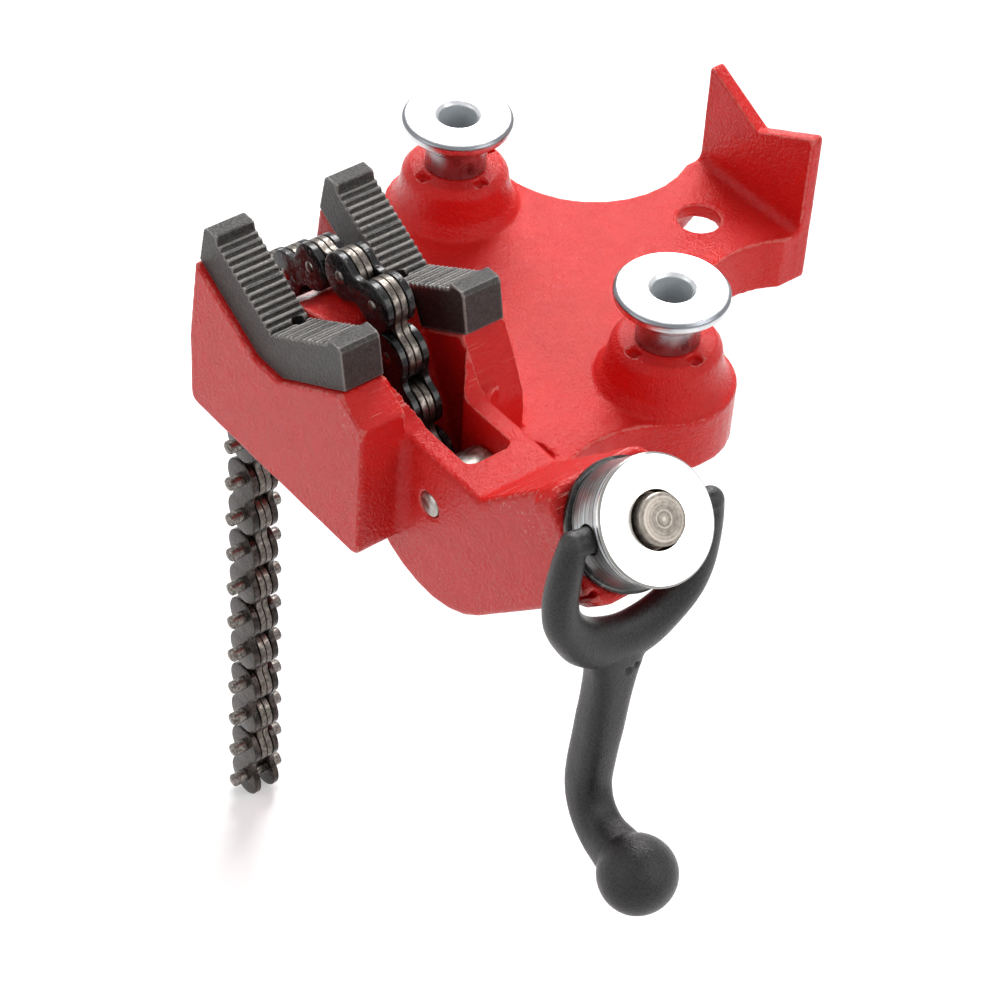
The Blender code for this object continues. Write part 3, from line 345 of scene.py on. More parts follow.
def cast_softness(x, y, z):
    """How round the cast edges are here: full low on the block, less on the plate, none where milled."""
    from_boss = math.hypot(abs(x) - SPOOL_ACROSS, y - SPOOL_BACK)
    near_boss = (1 - fade(from_boss, *BOSS_TURNED)) * fade(z, *BOSS_SIDE)
    if y > PLATE_FROM:
        return PLATE_SOFTNESS * (1 - near_boss)
    in_land = fade(x, *LAND_NEAR) * (1 - fade(x, *LAND_FAR)) * (1 - fade(abs(y), *LAND_SIDE))
    return (1 - (1 - LAND_SOFTNESS) * in_land) * (1 - fade(z, *MILLED_FROM)) * (1 - near_boss)


casting = even_skin(show("casting", frame["nodes"]["vise_base"].data.copy()), CASTING_VOXEL)
foundry_finish(casting, "vise_base", CASTING_ROUNDS, CASTING_REACH, CASTING_WAVE, CASTING_WAVE_LENGTH,
               cast_softness)
dress(casting, enamel)
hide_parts("vise_base")
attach(casting, "vise")


# Jaws
# Two drop-forged V plates of hard steel, with teeth milled across the V and raised caps at both ends. They sit
# in the block's milled seats, each drawn down by a screw from below into the tapped hole at the V's foot.
JAW_VOXEL = 0.34 * mm
JAW_ROUNDS = 3
JAW_REACH = 0.16 * mm
TEETH_FOOT = 61.3 * mm
TEETH_RISE = 0.475
TEETH_STEEPER = 0.091
TEETH_UNDER = 5 * mm
TEETH_FADE = 4 * mm
CAP_FROM = 34.4 * mm
CAP_FADE = 1.9 * mm
CAP_SOFT_FROM = 32.8 * mm
JAW_DARK = (0.020, 0.018, 0.0175)
# Painted shade: a darker steel colour for the hollows between the teeth.
JAW_VALLEY_SHADE = (0.014, 0.012, 0.011)
JAW_WORN = (0.255, 0.240, 0.225)
JAW_PITTING = 0.75 * mm

forged, tree, shader = finish_of("forged jaw steel")
skin = group_in(tree, rough_skin, Coarse=900.0, Fine=2300.0, Share=0.5)
crest = group_in(tree, worn_edge, Start=0.22, End=0.85, Patch=500.0, Patchy=0.45)
hollow = put(tree, "ShaderNodeAttribute", attribute_name="edge").outputs["Fac"]
# Painted shade: the steel is darkened where the surface turns inwards, in the valleys between the teeth.
metal = blend_of(tree, step_of(tree, hollow, -0.55, -0.05), JAW_VALLEY_SHADE, JAW_DARK)
metal = blend_of(tree, step_of(tree, skin, 0.35, 0.7, 0.0, 0.22), metal, JAW_WORN)
wire(tree, shader, Base_Color=blend_of(tree, math_of(tree, "MULTIPLY", crest, 0.8), metal, JAW_WORN),
     Metallic=0.35, Roughness=step_of(tree, crest, 0.0, 1.0, 0.33, 0.28), Specular_IOR_Level=0.45,
     Normal=bump_of(tree, skin, JAW_PITTING))


def cap_softness(x, y, z):
    """The caps' corners are ground rounder than the teeth."""
    return fade(abs(x), CAP_SOFT_FROM, CAP_FROM)


for side in ("front", "rear"):
    jaw = even_skin(show(side + "_toothed_jaw", frame["nodes"][side + "_jaw"].data.copy()), JAW_VOXEL)
    points = points_of(jaw.data)
    reach = np.abs(points[:, 0])
    over_teeth = points[:, 2] - TEETH_FOOT - TEETH_RISE * reach
    near_teeth = np.clip((over_teeth + TEETH_UNDER) / TEETH_FADE, 0, 1)
    points[:, 2] += TEETH_STEEPER * reach * near_teeth * np.clip((CAP_FROM - reach) / CAP_FADE, 0, 1)
    jaw.data.vertices.foreach_set("co", points.ravel())
    foundry_finish(jaw, side + "_jaw", JAW_ROUNDS, JAW_REACH, softness=cap_softness)
    dress(jaw, forged)
    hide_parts(side + "_jaw")
    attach(jaw, "vise")


# Jaw screws
# Two black socket head cap screws of hardened steel. They come up through the block from below and end in the
# jaws' tapped holes, so of each only the end shows, at the foot of the V.
SCREW_BLACK = (0.018, 0.018, 0.018)
SCREW_RUBBED = (0.05, 0.05, 0.05)

black_screw, tree, shader = finish_of("black cap screw")
tone = blend_of(tree, grain_of(tree, 0.8 * mm), SCREW_BLACK, SCREW_RUBBED)
wire(tree, shader, Base_Color=tone, Metallic=0.8,
     Roughness=step_of(tree, grain_of(tree, 2 * mm), 0.3, 0.7, 0.35, 0.5))
for side in ("front", "rear"):
    dress(frame["nodes"][side + "_jaw_screw"], black_screw)


# Bender spools
# Two zinc-plated turned steel spools. A bench bolt goes down through each into its boss, and pipe is bent
# round the necks. The flange's top is faced in fine rings and its bore has a wide chamfer.
SPOOL_FOOT = 41.6 * mm
SPOOL_TOP = 63.65 * mm
FLANGE_R = 20.9 * mm
FLANGE_FOOT = SPOOL_TOP - 4.8 * mm
NECK_R = 11.7 * mm
SPOOL_BORE = 7.15 * mm
ZINC_LIGHT = (0.74, 0.75, 0.76)
ZINC_GREY = (0.60, 0.61, 0.63)
# Painted shade for the flange's rounded top corner and, fainter, for the cone and neck under the flange.
ZINC_SHADE = (0.22, 0.23, 0.25)
ZINC_DULL = (0.46, 0.49, 0.51)
FACING_PITCH = 0.55 * mm
FACING_DEPTH = 0.006 * mm


def softened(points, radius):
    """The closed outline with each corner cut by a short three-point curve."""
    made = []
    for i, here in enumerate(points):
        before, after = Vector(points[i - 1]), Vector(points[(i + 1) % len(points)])
        here = Vector(here)
        cut = min(radius, (before - here).length / 3, (after - here).length / 3)
        first = here + (before - here).normalized() * cut
        last = here + (after - here).normalized() * cut
        made += [tuple(first), tuple((first + last) / 4 + here / 2), tuple(last)]
    return made


def turned(name, profile, place, steps=96, closed=True):
    """A turned piece: its outline of (radius, height) carried round the Z axis of place."""
    count = len(profile)
    verts, faces = [], []
    for i in range(steps):
        a = 2 * math.pi * i / steps
        verts += [place @ Vector((r * math.cos(a), r * math.sin(a), z)) for r, z in profile]
    for i in range(steps):
        j = (i + 1) % steps
        for k in range(count if closed else count - 1):
            n = (k + 1) % count
            faces.append((i * count + k, j * count + k, j * count + n, i * count + n))
    mesh = bpy.data.meshes.new(name)
    mesh.from_pydata(verts, [], faces)
    shape = bmesh.new()
    shape.from_mesh(mesh)
    bmesh.ops.remove_doubles(shape, verts=shape.verts, dist=WELD_GAP)
    bmesh.ops.recalc_face_normals(shape, faces=shape.faces)
    shape.to_mesh(mesh)
    shape.free()
    mesh.shade_smooth()
    mesh.set_sharp_from_angle(angle=math.radians(50))
    return show(name, mesh)


def from_axis_of(tree, where):
    """The distance from the Z axis of where."""
    flat = put(tree, "ShaderNodeVectorMath", {0: where, 1: (1.0, 1.0, 0.0)}, operation="MULTIPLY").outputs[0]
    return put(tree, "ShaderNodeVectorMath", {0: flat}, operation="LENGTH").outputs["Value"]


# Turning marks: a height from 0 to 1 that waves with the distance from the Z axis of Place.
turning_marks, given, result = group_of("turning marks", {
    "Place": (0.0, 0.0, 0.0), "Turns": 5000.0, "Wobble": 0.9, "Grain": 600.0}, ["Height"])
wobble = put(turning_marks, "ShaderNodeTexNoise", {"Vector": given.outputs["Place"],
                                                   "Scale": given.outputs["Grain"]}).outputs[0]
wobble = math_of(turning_marks, "MULTIPLY", wobble, given.outputs["Wobble"])
reach = math_of(turning_marks, "MULTIPLY", from_axis_of(turning_marks, given.outputs["Place"]),
                given.outputs["Turns"])
wave = math_of(turning_marks, "SINE", math_of(turning_marks, "ADD", reach, wobble))
turning_marks.links.new(math_of(turning_marks, "MULTIPLY_ADD", wave, 0.5, 0.5), result.inputs["Height"])


def rings_of(tree, where, pitch, wobble):
    """Turning marks of this pitch round the Z axis of where."""
    return group_in(tree, turning_marks, Place=where, Turns=2 * math.pi / pitch, Wobble=wobble,
                    Grain=1 / (3 * pitch))


for side, across in (("left", -SPOOL_ACROSS), ("right", SPOOL_ACROSS)):
    zinc, tree, shader = finish_of(side + " spool zinc")
    centred = put(tree, "ShaderNodeMapping", {"Vector": place_of(tree), "Location": (-across, -SPOOL_BACK, 0)},
                  vector_type="POINT").outputs[0]
    cloud = grain_of(tree, 5 * mm, 3.0, 0.6)
    marks = rings_of(tree, centred, FACING_PITCH, 0.9)
    reach = from_axis_of(tree, centred)
    height = put(tree, "ShaderNodeSeparateXYZ", {0: centred}).outputs["Z"]
    # Painted shade: darker along the flange's rounded top corner and, at about half strength, on the cone and
    # neck under the flange.
    corner = math_of(tree, "MULTIPLY", step_of(tree, reach, FLANGE_R - 1.1 * mm, FLANGE_R - 0.8 * mm),
                     step_of(tree, height, SPOOL_TOP - 2.2 * mm, SPOOL_TOP - 1.2 * mm))
    below = step_of(tree, height, FLANGE_FOOT + 1.4 * mm, FLANGE_FOOT + 0.4 * mm)
    shaded = math_of(tree, "MAXIMUM", corner, math_of(tree, "MULTIPLY", below, 0.55))
    outside = step_of(tree, reach, SPOOL_BORE + 0.1 * mm, SPOOL_BORE + 0.4 * mm)
    tone = blend_of(tree, step_of(tree, cloud, 0.35, 0.7), ZINC_GREY, ZINC_LIGHT)
    tone = blend_of(tree, shaded, tone, ZINC_SHADE)
    wire(tree, shader, Base_Color=blend_of(tree, outside, ZINC_DULL, tone), Metallic=outside,
         Roughness=step_of(tree, cloud, 0.3, 0.7, 0.24, 0.36), Normal=bump_of(tree, marks, FACING_DEPTH))
    outline = softened([
        (SPOOL_BORE, SPOOL_FOOT), (SPOOL_BORE, SPOOL_TOP - 1.4 * mm), (SPOOL_BORE + 1.4 * mm, SPOOL_TOP),
        (FLANGE_R - 1.2 * mm, SPOOL_TOP), (FLANGE_R, SPOOL_TOP - 1.2 * mm), (FLANGE_R, FLANGE_FOOT + 1.0 * mm),
        (FLANGE_R - 1.6 * mm, FLANGE_FOOT), (NECK_R + 2.4 * mm, FLANGE_FOOT - 3.6 * mm),
        (NECK_R + 2.0 * mm, FLANGE_FOOT - 6.2 * mm), (NECK_R, FLANGE_FOOT - 7.0 * mm), (NECK_R, SPOOL_FOOT)],
        0.35 * mm)
    spool = turned(side + "_spool", outline, Matrix.Translation((across, SPOOL_BACK, 0)))
    dress(spool, zinc)
    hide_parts(side + "_bender_spool")
    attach(spool, "vise")


# Roller and cross pin
# The chain turns on a plain steel roller in the well. Its pin is pressed through the housing's walls, and the
# pin's ends are faced off flush with the casting.
ROLLER_AT = Vector((69.6 * mm, 0, 25.6 * mm))
ROLLER_R = 11.6 * mm
ROLLER_BORE = 5.05 * mm
ROLLER_HALF = 8.5 * mm
PIN_FACE = 17.2 * mm
CROSS_PIN_R = 4.7 * mm
STEEL_BROWN = (0.30, 0.28, 0.25)
STEEL_BRIGHT = (0.58, 0.56, 0.53)
BRUSHING = 0.01 * mm
roller_place = Matrix.Translation(ROLLER_AT) @ Matrix.Rotation(-math.pi / 2, 4, "X")

brushed, tree, shader = finish_of("brushed pin steel")
smear = grain_of(tree, 2.2 * mm, 3.0, 0.65)
streak = group_in(tree, streaks, Across=3000.0, Along=300.0)
tone = blend_of(tree, step_of(tree, smear, 0.35, 0.7), STEEL_BROWN, STEEL_BRIGHT)
wire(tree, shader, Base_Color=tone, Metallic=1.0, Roughness=step_of(tree, smear, 0.3, 0.7, 0.28, 0.46),
     Normal=bump_of(tree, streak, BRUSHING))

outline = [(ROLLER_BORE, ROLLER_HALF), (ROLLER_R, ROLLER_HALF), (ROLLER_R, -ROLLER_HALF),
           (ROLLER_BORE, -ROLLER_HALF)]
roller = turned("well_roller", softened(outline, 0.9 * mm), roller_place, 72)
dress(roller, brushed)
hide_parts("chain_roller")
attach(roller, "roller")

pin_end = [(0, PIN_FACE), (2.2 * mm, PIN_FACE), (2.6 * mm, PIN_FACE - 0.15 * mm),
           (3.9 * mm, PIN_FACE - 0.05 * mm), (4.35 * mm, PIN_FACE - 0.2 * mm),
           (CROSS_PIN_R, PIN_FACE - 0.7 * mm)]
pin = turned("faced_pin", pin_end + [(r, -z) for r, z in reversed(pin_end)], roller_place, 48, False)
dress(pin, brushed)
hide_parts("cross_pin")
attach(pin, "vise")


# Screw, washer and nut
# The chain screw is turned steel, left bare, with its threaded end proud of the nut. The nut is a thick plated
# disc with turning marks round its rim and two holes for the fork, and runs on a greasy thrust washer.
SCREW_WAY = Vector((0.73301792, 0, 0.68020934))
SCREW_FOOT = Vector((84.565 * mm, 0, 9.472 * mm))
HOUSING_END = 85.3 * mm
NUT_BACK = HOUSING_END + 3.5 * mm
NUT_FRONT = NUT_BACK + 17.8 * mm
NUT_R = 21.6 * mm
NUT_BORE = 8.3 * mm
MOUTH_R = 9.5 * mm
MOUTH_DEPTH = 5 * mm
FORK_HOLE_R = 5.2 * mm
SCREW_END_R = 8.6 * mm
THREAD_R = 7.9 * mm
THREAD_ROOT = 7.2 * mm
THREAD_PITCH = 4.2 * mm
THREAD_TO = 35 * mm
SHANK_FOOT = 22.0 * mm
TONGUE_TO = 29 * mm
WASHER_R = 22.3 * mm
WASHER_BORE = 8.7 * mm
WASHER_FOOT = HOUSING_END + 0.35 * mm
WASHER_TOP = WASHER_FOOT + 2.8 * mm
SCREW_BROWN = (0.26, 0.225, 0.19)
SCREW_GREY = (0.40, 0.36, 0.32)
SCREW_CREST = (0.56, 0.52, 0.47)
TURNING_PITCH = 1.15 * mm
TURNING_DEPTH = 0.014 * mm
GREASE = (0.010, 0.009, 0.009)
GREASE_THIN = (0.10, 0.095, 0.09)
NUT_FACE = (0.90, 0.90, 0.89)
# Painted shade for the chamfer between the nut's front face and its rim.
NUT_CORNER_SHADE = (0.30, 0.29, 0.28)
# Painted shade for the recess of the counterbore round the screw end.
NUT_MOUTH_SHADE = (0.13, 0.10, 0.08)
RIM_DARK = (0.19, 0.185, 0.18)
RIM_BRIGHT = (0.60, 0.63, 0.65)
# Painted reflection: the brownish tint of the red casting seen in the plated rim.
RIM_RED_REFLECTION = (0.26, 0.22, 0.20)
RIM_DEPTH = 0.05 * mm
screw_place = Matrix.Translation(SCREW_FOOT) @ SCREW_WAY.to_track_quat("Z", "Y").to_matrix().to_4x4()
screw_tilt = math.atan2(SCREW_WAY.x, SCREW_WAY.z)


def screw_space_of(tree):
    """The point on the piece with the screw's foot as origin and its axis as Z."""
    moved = put(tree, "ShaderNodeVectorMath", {0: place_of(tree), 1: tuple(-SCREW_FOOT)},
                operation="ADD").outputs[0]
    return put(tree, "ShaderNodeMapping", {"Vector": moved, "Rotation": (0, -screw_tilt, 0)}).outputs[0]


turned_steel, tree, shader = finish_of("turned screw steel")
marks = rings_of(tree, screw_space_of(tree), TURNING_PITCH, 0.6)
cloud = grain_of(tree, 1.5 * mm, 3.0, 0.6)
tone = blend_of(tree, step_of(tree, cloud, 0.3, 0.75), SCREW_BROWN, SCREW_GREY)
tone = blend_of(tree, step_of(tree, marks, 0.85, 0.99, 0.0, 0.22), tone, SCREW_CREST)
wire(tree, shader, Base_Color=tone, Metallic=0.9, Roughness=step_of(tree, cloud, 0.3, 0.7, 0.34, 0.48),
     Normal=bump_of(tree, marks, TURNING_DEPTH))

tip = NUT_FRONT + 3.9 * mm
profile = [(0, tip - 0.3 * mm), (2.2 * mm, tip - 0.3 * mm), (2.5 * mm, tip), (3.2 * mm, tip),
           (3.5 * mm, tip - 0.25 * mm), (7.2 * mm, tip - 0.2 * mm), (8.2 * mm, tip - 0.45 * mm),
           (SCREW_END_R, tip - 1.1 * mm), (SCREW_END_R, NUT_FRONT - 2.8 * mm)]
thread = NUT_FRONT - 3.2 * mm
while thread > THREAD_TO:
    profile += [(THREAD_R, thread), (THREAD_ROOT, thread - 1.0 * mm), (THREAD_ROOT, thread - 1.6 * mm),
                (THREAD_R, thread - 2.6 * mm)]
    thread -= THREAD_PITCH
profile += [(THREAD_R, SHANK_FOOT), (0, SHANK_FOOT)]

# The shank is joined with the tongue end of the solid, whose own shank is cut away.
screw = turned("screw_shank", profile, screw_place, 64, False)
tongue = bmesh.new()
tongue.from_mesh(frame["nodes"]["chain_screw"].data)
bmesh.ops.remove_doubles(tongue, verts=tongue.verts, dist=WELD_GAP)
far = [v for v in tongue.verts if (v.co - SCREW_FOOT).dot(SCREW_WAY) > TONGUE_TO]
bmesh.ops.delete(tongue, geom=far, context="VERTS")
tongue.from_mesh(screw.data)
tongue.to_mesh(screw.data)
tongue.free()
screw.data.shade_smooth()
screw.data.set_sharp_from_angle(angle=math.radians(35))
dress(screw, turned_steel)
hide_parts("chain_screw")
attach(screw, "screw")

greasy, tree, shader = finish_of("greasy washer")
smear = grain_of(tree, 2.5 * mm, 4.0, 0.7)
tone = blend_of(tree, step_of(tree, smear, 0.52, 0.70), GREASE, GREASE_THIN)
wire(tree, shader, Base_Color=tone, Metallic=0.7, Roughness=step_of(tree, smear, 0.35, 0.65, 0.16, 0.42),
     Coat_Weight=0.5, Coat_Roughness=0.1, Normal=bump_of(tree, smear, 0.05 * mm))
outline = [(WASHER_BORE, WASHER_FOOT), (WASHER_BORE, WASHER_TOP), (WASHER_R, WASHER_TOP),
           (WASHER_R, WASHER_FOOT)]
washer = turned("greased_washer", softened(outline, 0.5 * mm), screw_place, 96)
dress(washer, greasy)
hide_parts("thrust_washer")
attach(washer, "vise")

plated, tree, shader = finish_of("plated nut")
screw_space = screw_space_of(tree)
height = put(tree, "ShaderNodeSeparateXYZ", {0: screw_space}).outputs["Z"]
reach = from_axis_of(tree, screw_space)
on_rim = math_of(tree, "MULTIPLY", step_of(tree, reach, NUT_R - 1.0 * mm, NUT_R - 0.5 * mm),
                 step_of(tree, height, NUT_FRONT - 1.6 * mm, NUT_FRONT - 2.2 * mm))
in_mouth = step_of(tree, reach, MOUTH_R + 0.3 * mm, MOUTH_R + 0.05 * mm)
turning = put(tree, "ShaderNodeTexNoise", {"W": height, "Scale": 1100.0, "Detail": 3.0, "Roughness": 0.7},
              noise_dimensions="1D").outputs[0]
# Painted reflection: cloudy patches of the rim take a brownish tint, standing in for the red casting reflected
# there.
red_reflection_patch = grain_of(tree, 7 * mm, 3.0, 0.6)
rim = blend_of(tree, step_of(tree, turning, 0.40, 0.62), RIM_DARK, RIM_BRIGHT)
rim = blend_of(tree, step_of(tree, red_reflection_patch, 0.45, 0.70, 0.0, 0.55), rim, RIM_RED_REFLECTION)
tone = blend_of(tree, on_rim, NUT_FACE, rim)
# Painted shade: a dark line along the chamfer between the front face and the rim.
corner = math_of(tree, "MULTIPLY", step_of(tree, reach, NUT_R - 0.75 * mm, NUT_R - 0.55 * mm),
                 step_of(tree, height, NUT_FRONT - 0.9 * mm, NUT_FRONT - 0.6 * mm))
tone = blend_of(tree, corner, tone, NUT_CORNER_SHADE)
# Painted shade: the counterbore round the screw end is coloured dark brown.
tone = blend_of(tree, in_mouth, tone, NUT_MOUTH_SHADE)
rougher = math_of(tree, "MAXIMUM", on_rim, in_mouth)
wire(tree, shader, Base_Color=tone, Metallic=1.0, Roughness=step_of(tree, rougher, 0.0, 1.0, 0.22, 0.34),
     Normal=bump_of(tree, math_of(tree, "MULTIPLY", turning, on_rim), RIM_DEPTH))

outline = [(NUT_BORE, NUT_BACK), (NUT_R - 1.2 * mm, NUT_BACK), (NUT_R - 0.4 * mm, NUT_BACK + 0.6 * mm),
           (NUT_R - 0.3 * mm, NUT_FRONT - 3.2 * mm), (NUT_R - 0.6 * mm, NUT_FRONT - 2.6 * mm),
           (NUT_R - 0.6 * mm, NUT_FRONT - 2.2 * mm), (NUT_R, NUT_FRONT - 1.8 * mm),
           (NUT_R, NUT_FRONT - 0.7 * mm), (NUT_R - 0.7 * mm, NUT_FRONT),
           (MOUTH_R + 0.3 * mm, NUT_FRONT), (MOUTH_R, NUT_FRONT - 0.4 * mm),
           (MOUTH_R, NUT_FRONT - MOUTH_DEPTH), (NUT_BORE, NUT_FRONT - MOUTH_DEPTH)]
nut = turned("plated_nut", softened(outline, 0.15 * mm), screw_place, 128)
nut_middle = frame["joints"][1]["pos_m"]
fork_way = -Vector(frame["joints"][2]["axis"])
fork_cross = Matrix.Translation(nut_middle) @ fork_way.to_track_quat("Z", "Y").to_matrix().to_4x4()
for low, high in ((13 * mm, 26 * mm), (-26 * mm, -13 * mm)):
    outline = [(0, low), (FORK_HOLE_R, low), (FORK_HOLE_R, high), (0, high)]
    drill = turned("fork_drill", outline, fork_cross, 40, False)
    drilled = nut.modifiers.new("fork hole", "BOOLEAN")
    drilled.operation = "DIFFERENCE"
    drilled.object = drill
    settled(nut)
    bpy.data.objects.remove(drill)
nut.data.shade_smooth()
nut.data.set_sharp_from_angle(angle=math.radians(35))
dress(nut, plated)
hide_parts("drive_nut")
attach(nut, "nut")


# Chain
# A leaf chain of 3/4 inch pitch. Odd links are two blanked outer plates, oiled black, riveted on two pins, and
# even links are two bare inner plates side by side. Near the free end the pins stand out, to hook on the base.
PITCH = 19.05 * mm
LOBE_R = 9.0 * mm
WAIST = 5.5 * mm
INNER_HALF = 2.75 * mm
OUTER_LOW = 3.05 * mm
OUTER_HIGH = 5.95 * mm
PIN_R = 2.75 * mm
PIN_FLUSH = 6.6 * mm
PIN_LONG = 12.3 * mm
PIN_STEPS = 28
LOBE_STEPS = 26
WAIST_STEPS = 10
FIRST_LONG = 11
OUTER_EASE = 0.38 * mm
INNER_EASE = 0.30 * mm
INNER_GAP = 0.07 * mm
OIL_BLACK = (0.007, 0.007, 0.008)
OIL_GREY = (0.022, 0.020, 0.020)
DRIED_BLACK = (0.014, 0.010, 0.009)
DRIED_BROWN = (0.060, 0.044, 0.036)
OIL_DROPS = 0.10 * mm
PLATE_BROWN = (0.080, 0.069, 0.060)
PLATE_WORN = (0.190, 0.168, 0.150)
PLATE_GRAIN = 0.02 * mm
PIN_BROWN = (0.085, 0.072, 0.064)
PIN_WORN = (0.27, 0.245, 0.225)


def plate_edge(inset):
    """A chain plate's outline, moved inwards: two lobes joined by a hollow waist, near pin at the origin."""
    lobe, waist, half = LOBE_R - inset, WAIST - inset, PITCH / 2
    hollow = (half * half + waist * waist - lobe * lobe) / (2 * (lobe - waist))
    way = math.atan2(waist + hollow, half)
    runs = [((0, 0), lobe, way, 2 * math.pi - way, LOBE_STEPS),
            ((half, -waist - hollow), hollow, math.pi - way, way, WAIST_STEPS),
            ((PITCH, 0), lobe, way - math.pi, math.pi - way, LOBE_STEPS),
            ((half, waist + hollow), hollow, -way, way - math.pi, WAIST_STEPS)]
    made = []
    for (cx, cz), radius, start, end, steps in runs:
        turns = [start + (end - start) * i / steps for i in range(steps)]
        made += [(cx + radius * math.cos(a), cz + radius * math.sin(a)) for a in turns]
    return made


def add_plate(shape, low, high, ease):
    """A flat plate between two levels of Y, with its rim eased, in the link's first material."""
    rings = []
    for inset, y in ((2 * ease, low), (0.6 * ease, low + 0.3 * ease), (0, low + ease), (0, high - ease),
                     (0.6 * ease, high - 0.3 * ease), (2 * ease, high)):
        rings.append([shape.verts.new((x, y, z)) for x, z in plate_edge(inset)])
    count = len(rings[0])
    shape.faces.new(rings[0])
    shape.faces.new(list(reversed(rings[-1])))
    for one, two in zip(rings, rings[1:]):
        for i in range(count):
            j = (i + 1) % count
            shape.faces.new((one[j], one[i], two[i], two[j]))


def add_pin(shape, x, half):
    """A riveted pin with domed ends, in the link's second material."""
    profile = [(0, -half), (PIN_R * 0.55, 0.15 * mm - half), (PIN_R * 0.88, 0.55 * mm - half),
               (PIN_R, 1.1 * mm - half)]
    profile += [(r, -y) for r, y in reversed(profile)]
    turns = [2 * math.pi * i / PIN_STEPS for i in range(PIN_STEPS)]
    rings = [[shape.verts.new((x + r * math.cos(a), y, r * math.sin(a))) for a in turns] for r, y in profile]
    for one, two in zip(rings, rings[1:]):
        for i in range(PIN_STEPS):
            j = (i + 1) % PIN_STEPS
            face = shape.faces.new((one[i], one[j], two[j], two[i]))
            face.material_index = 1


def link_mesh(name, plates, pin_half, materials):
    """A link along X from its near pin: its plates and, where it has them, its two pins."""
    shape = bmesh.new()
    for low, high, ease in plates:
        add_plate(shape, low, high, ease)
    if pin_half:
        for x in (0, PITCH):
            add_pin(shape, x, pin_half)
    bmesh.ops.remove_doubles(shape, verts=shape.verts, dist=WELD_GAP)
    bmesh.ops.recalc_face_normals(shape, faces=shape.faces)
    mesh = bpy.data.meshes.new(name)
    shape.to_mesh(mesh)
    shape.free()
    mesh.shade_smooth()
    mesh.set_sharp_from_angle(angle=math.radians(40))
    for material in materials:
        mesh.materials.append(material)
    return mesh


oiled, tree, shader = finish_of("oiled black plate")
spot = place_of(tree)
height = put(tree, "ShaderNodeSeparateXYZ", {0: spot}).outputs["Z"]
low_down = step_of(tree, height, 20 * mm, -10 * mm)
drops = put(tree, "ShaderNodeTexVoronoi", {"Vector": spot, "Scale": 520.0, "Smoothness": 0.6},
            feature="SMOOTH_F1").outputs["Distance"]
wet = step_of(tree, drops, 0.42, 0.20)
stain = patches_in(tree, 3 * mm, 0.42, 0.66, 4.0, 0.65)
tone = blend_of(tree, stain, OIL_BLACK, OIL_GREY)
tone = blend_of(tree, low_down, tone, blend_of(tree, stain, DRIED_BLACK, DRIED_BROWN))
wire(tree, shader, Base_Color=tone, Metallic=step_of(tree, low_down, 0.0, 1.0, 0.1, 0.5),
     Roughness=step_of(tree, stain, 0.0, 1.0, 0.16, 0.36), Specular_IOR_Level=0.35,
     Normal=bump_of(tree, math_of(tree, "MULTIPLY", wet, stain), OIL_DROPS))

bare_plate, tree, shader = finish_of("bare brown plate")
mottle = patches_in(tree, 1.6 * mm, 0.35, 0.68, 4.0, 0.65)
streak = group_in(tree, streaks, Across=700.0, Along=5000.0)
tone = blend_of(tree, mottle, PLATE_BROWN, PLATE_WORN)
wire(tree, shader, Base_Color=tone, Metallic=1.0, Roughness=step_of(tree, mottle, 0.0, 1.0, 0.44, 0.30),
     Normal=bump_of(tree, streak, PLATE_GRAIN))

pin_steel, tree, shader = finish_of("chain pin steel")
mottle = patches_in(tree, 1.2 * mm, 0.35, 0.68, 4.0, 0.65)
wire(tree, shader, Base_Color=blend_of(tree, mottle, PIN_BROWN, PIN_WORN), Metallic=1.0,
     Roughness=step_of(tree, mottle, 0.0, 1.0, 0.40, 0.26))

outer_pair = [(OUTER_LOW, OUTER_HIGH, OUTER_EASE), (-OUTER_HIGH, -OUTER_LOW, OUTER_EASE)]
inner_pair = [(INNER_GAP, INNER_HALF, INNER_EASE), (-INNER_HALF, -INNER_GAP, INNER_EASE)]
flush_mesh = link_mesh("outer_link", outer_pair, PIN_FLUSH, [oiled, pin_steel])
long_mesh = link_mesh("outer_link_long", outer_pair, PIN_LONG, [oiled, pin_steel])
inner_mesh = link_mesh("inner_link", inner_pair, 0, [bare_plate])
pins = [Vector(j["pos_m"]) for j in frame["joints"] if j["name"].startswith("link_")]
pins.append(pins[-1] * 2 - pins[-2])
for k, (here, there) in enumerate(zip(pins, pins[1:]), 1):
    way = there - here
    mesh = inner_mesh if k % 2 == 0 else long_mesh if k >= FIRST_LONG else flush_mesh
    mesh = mesh.copy()
    mesh.transform(Matrix.Translation(here) @ Matrix.Rotation(-math.atan2(way.z, way.x), 4, "Y"))
    link = show(f"leaf_link_{k:02d}", mesh)
    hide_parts(f"chain_link_{k:02d}")
    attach(link, f"link_{k:02d}")


# Handle
# A drop-forged steel fork in black oxide: two prongs whose turned-in ends sit in the nut's rim, a broad web,
# a shank with flattened sides and a ball that is cranked forward. Three small punch marks sit below the web.
HANDLE_VOXEL = 0.7 * mm
HANDLE_ROUNDS = 7
HANDLE_REACH = 0.5 * mm
HANDLE_WAVE = 0.12 * mm
HANDLE_WAVE_LENGTH = 9 * mm
SHANK_SQUARENESS = 2.7
KNOB_AT = 26.7 * mm
KNOB_R = 4.7 * mm
STUB_AT = 21.5 * mm
STUB_R = 4.5 * mm
STUB_LENGTH = 11 * mm
PUNCH_R = 1.0 * mm
PUNCH_DEPTH = 1.4 * mm
BALL_R = 14.05 * mm
BALL_AT = (0, 34.3 * mm, -129.7 * mm)
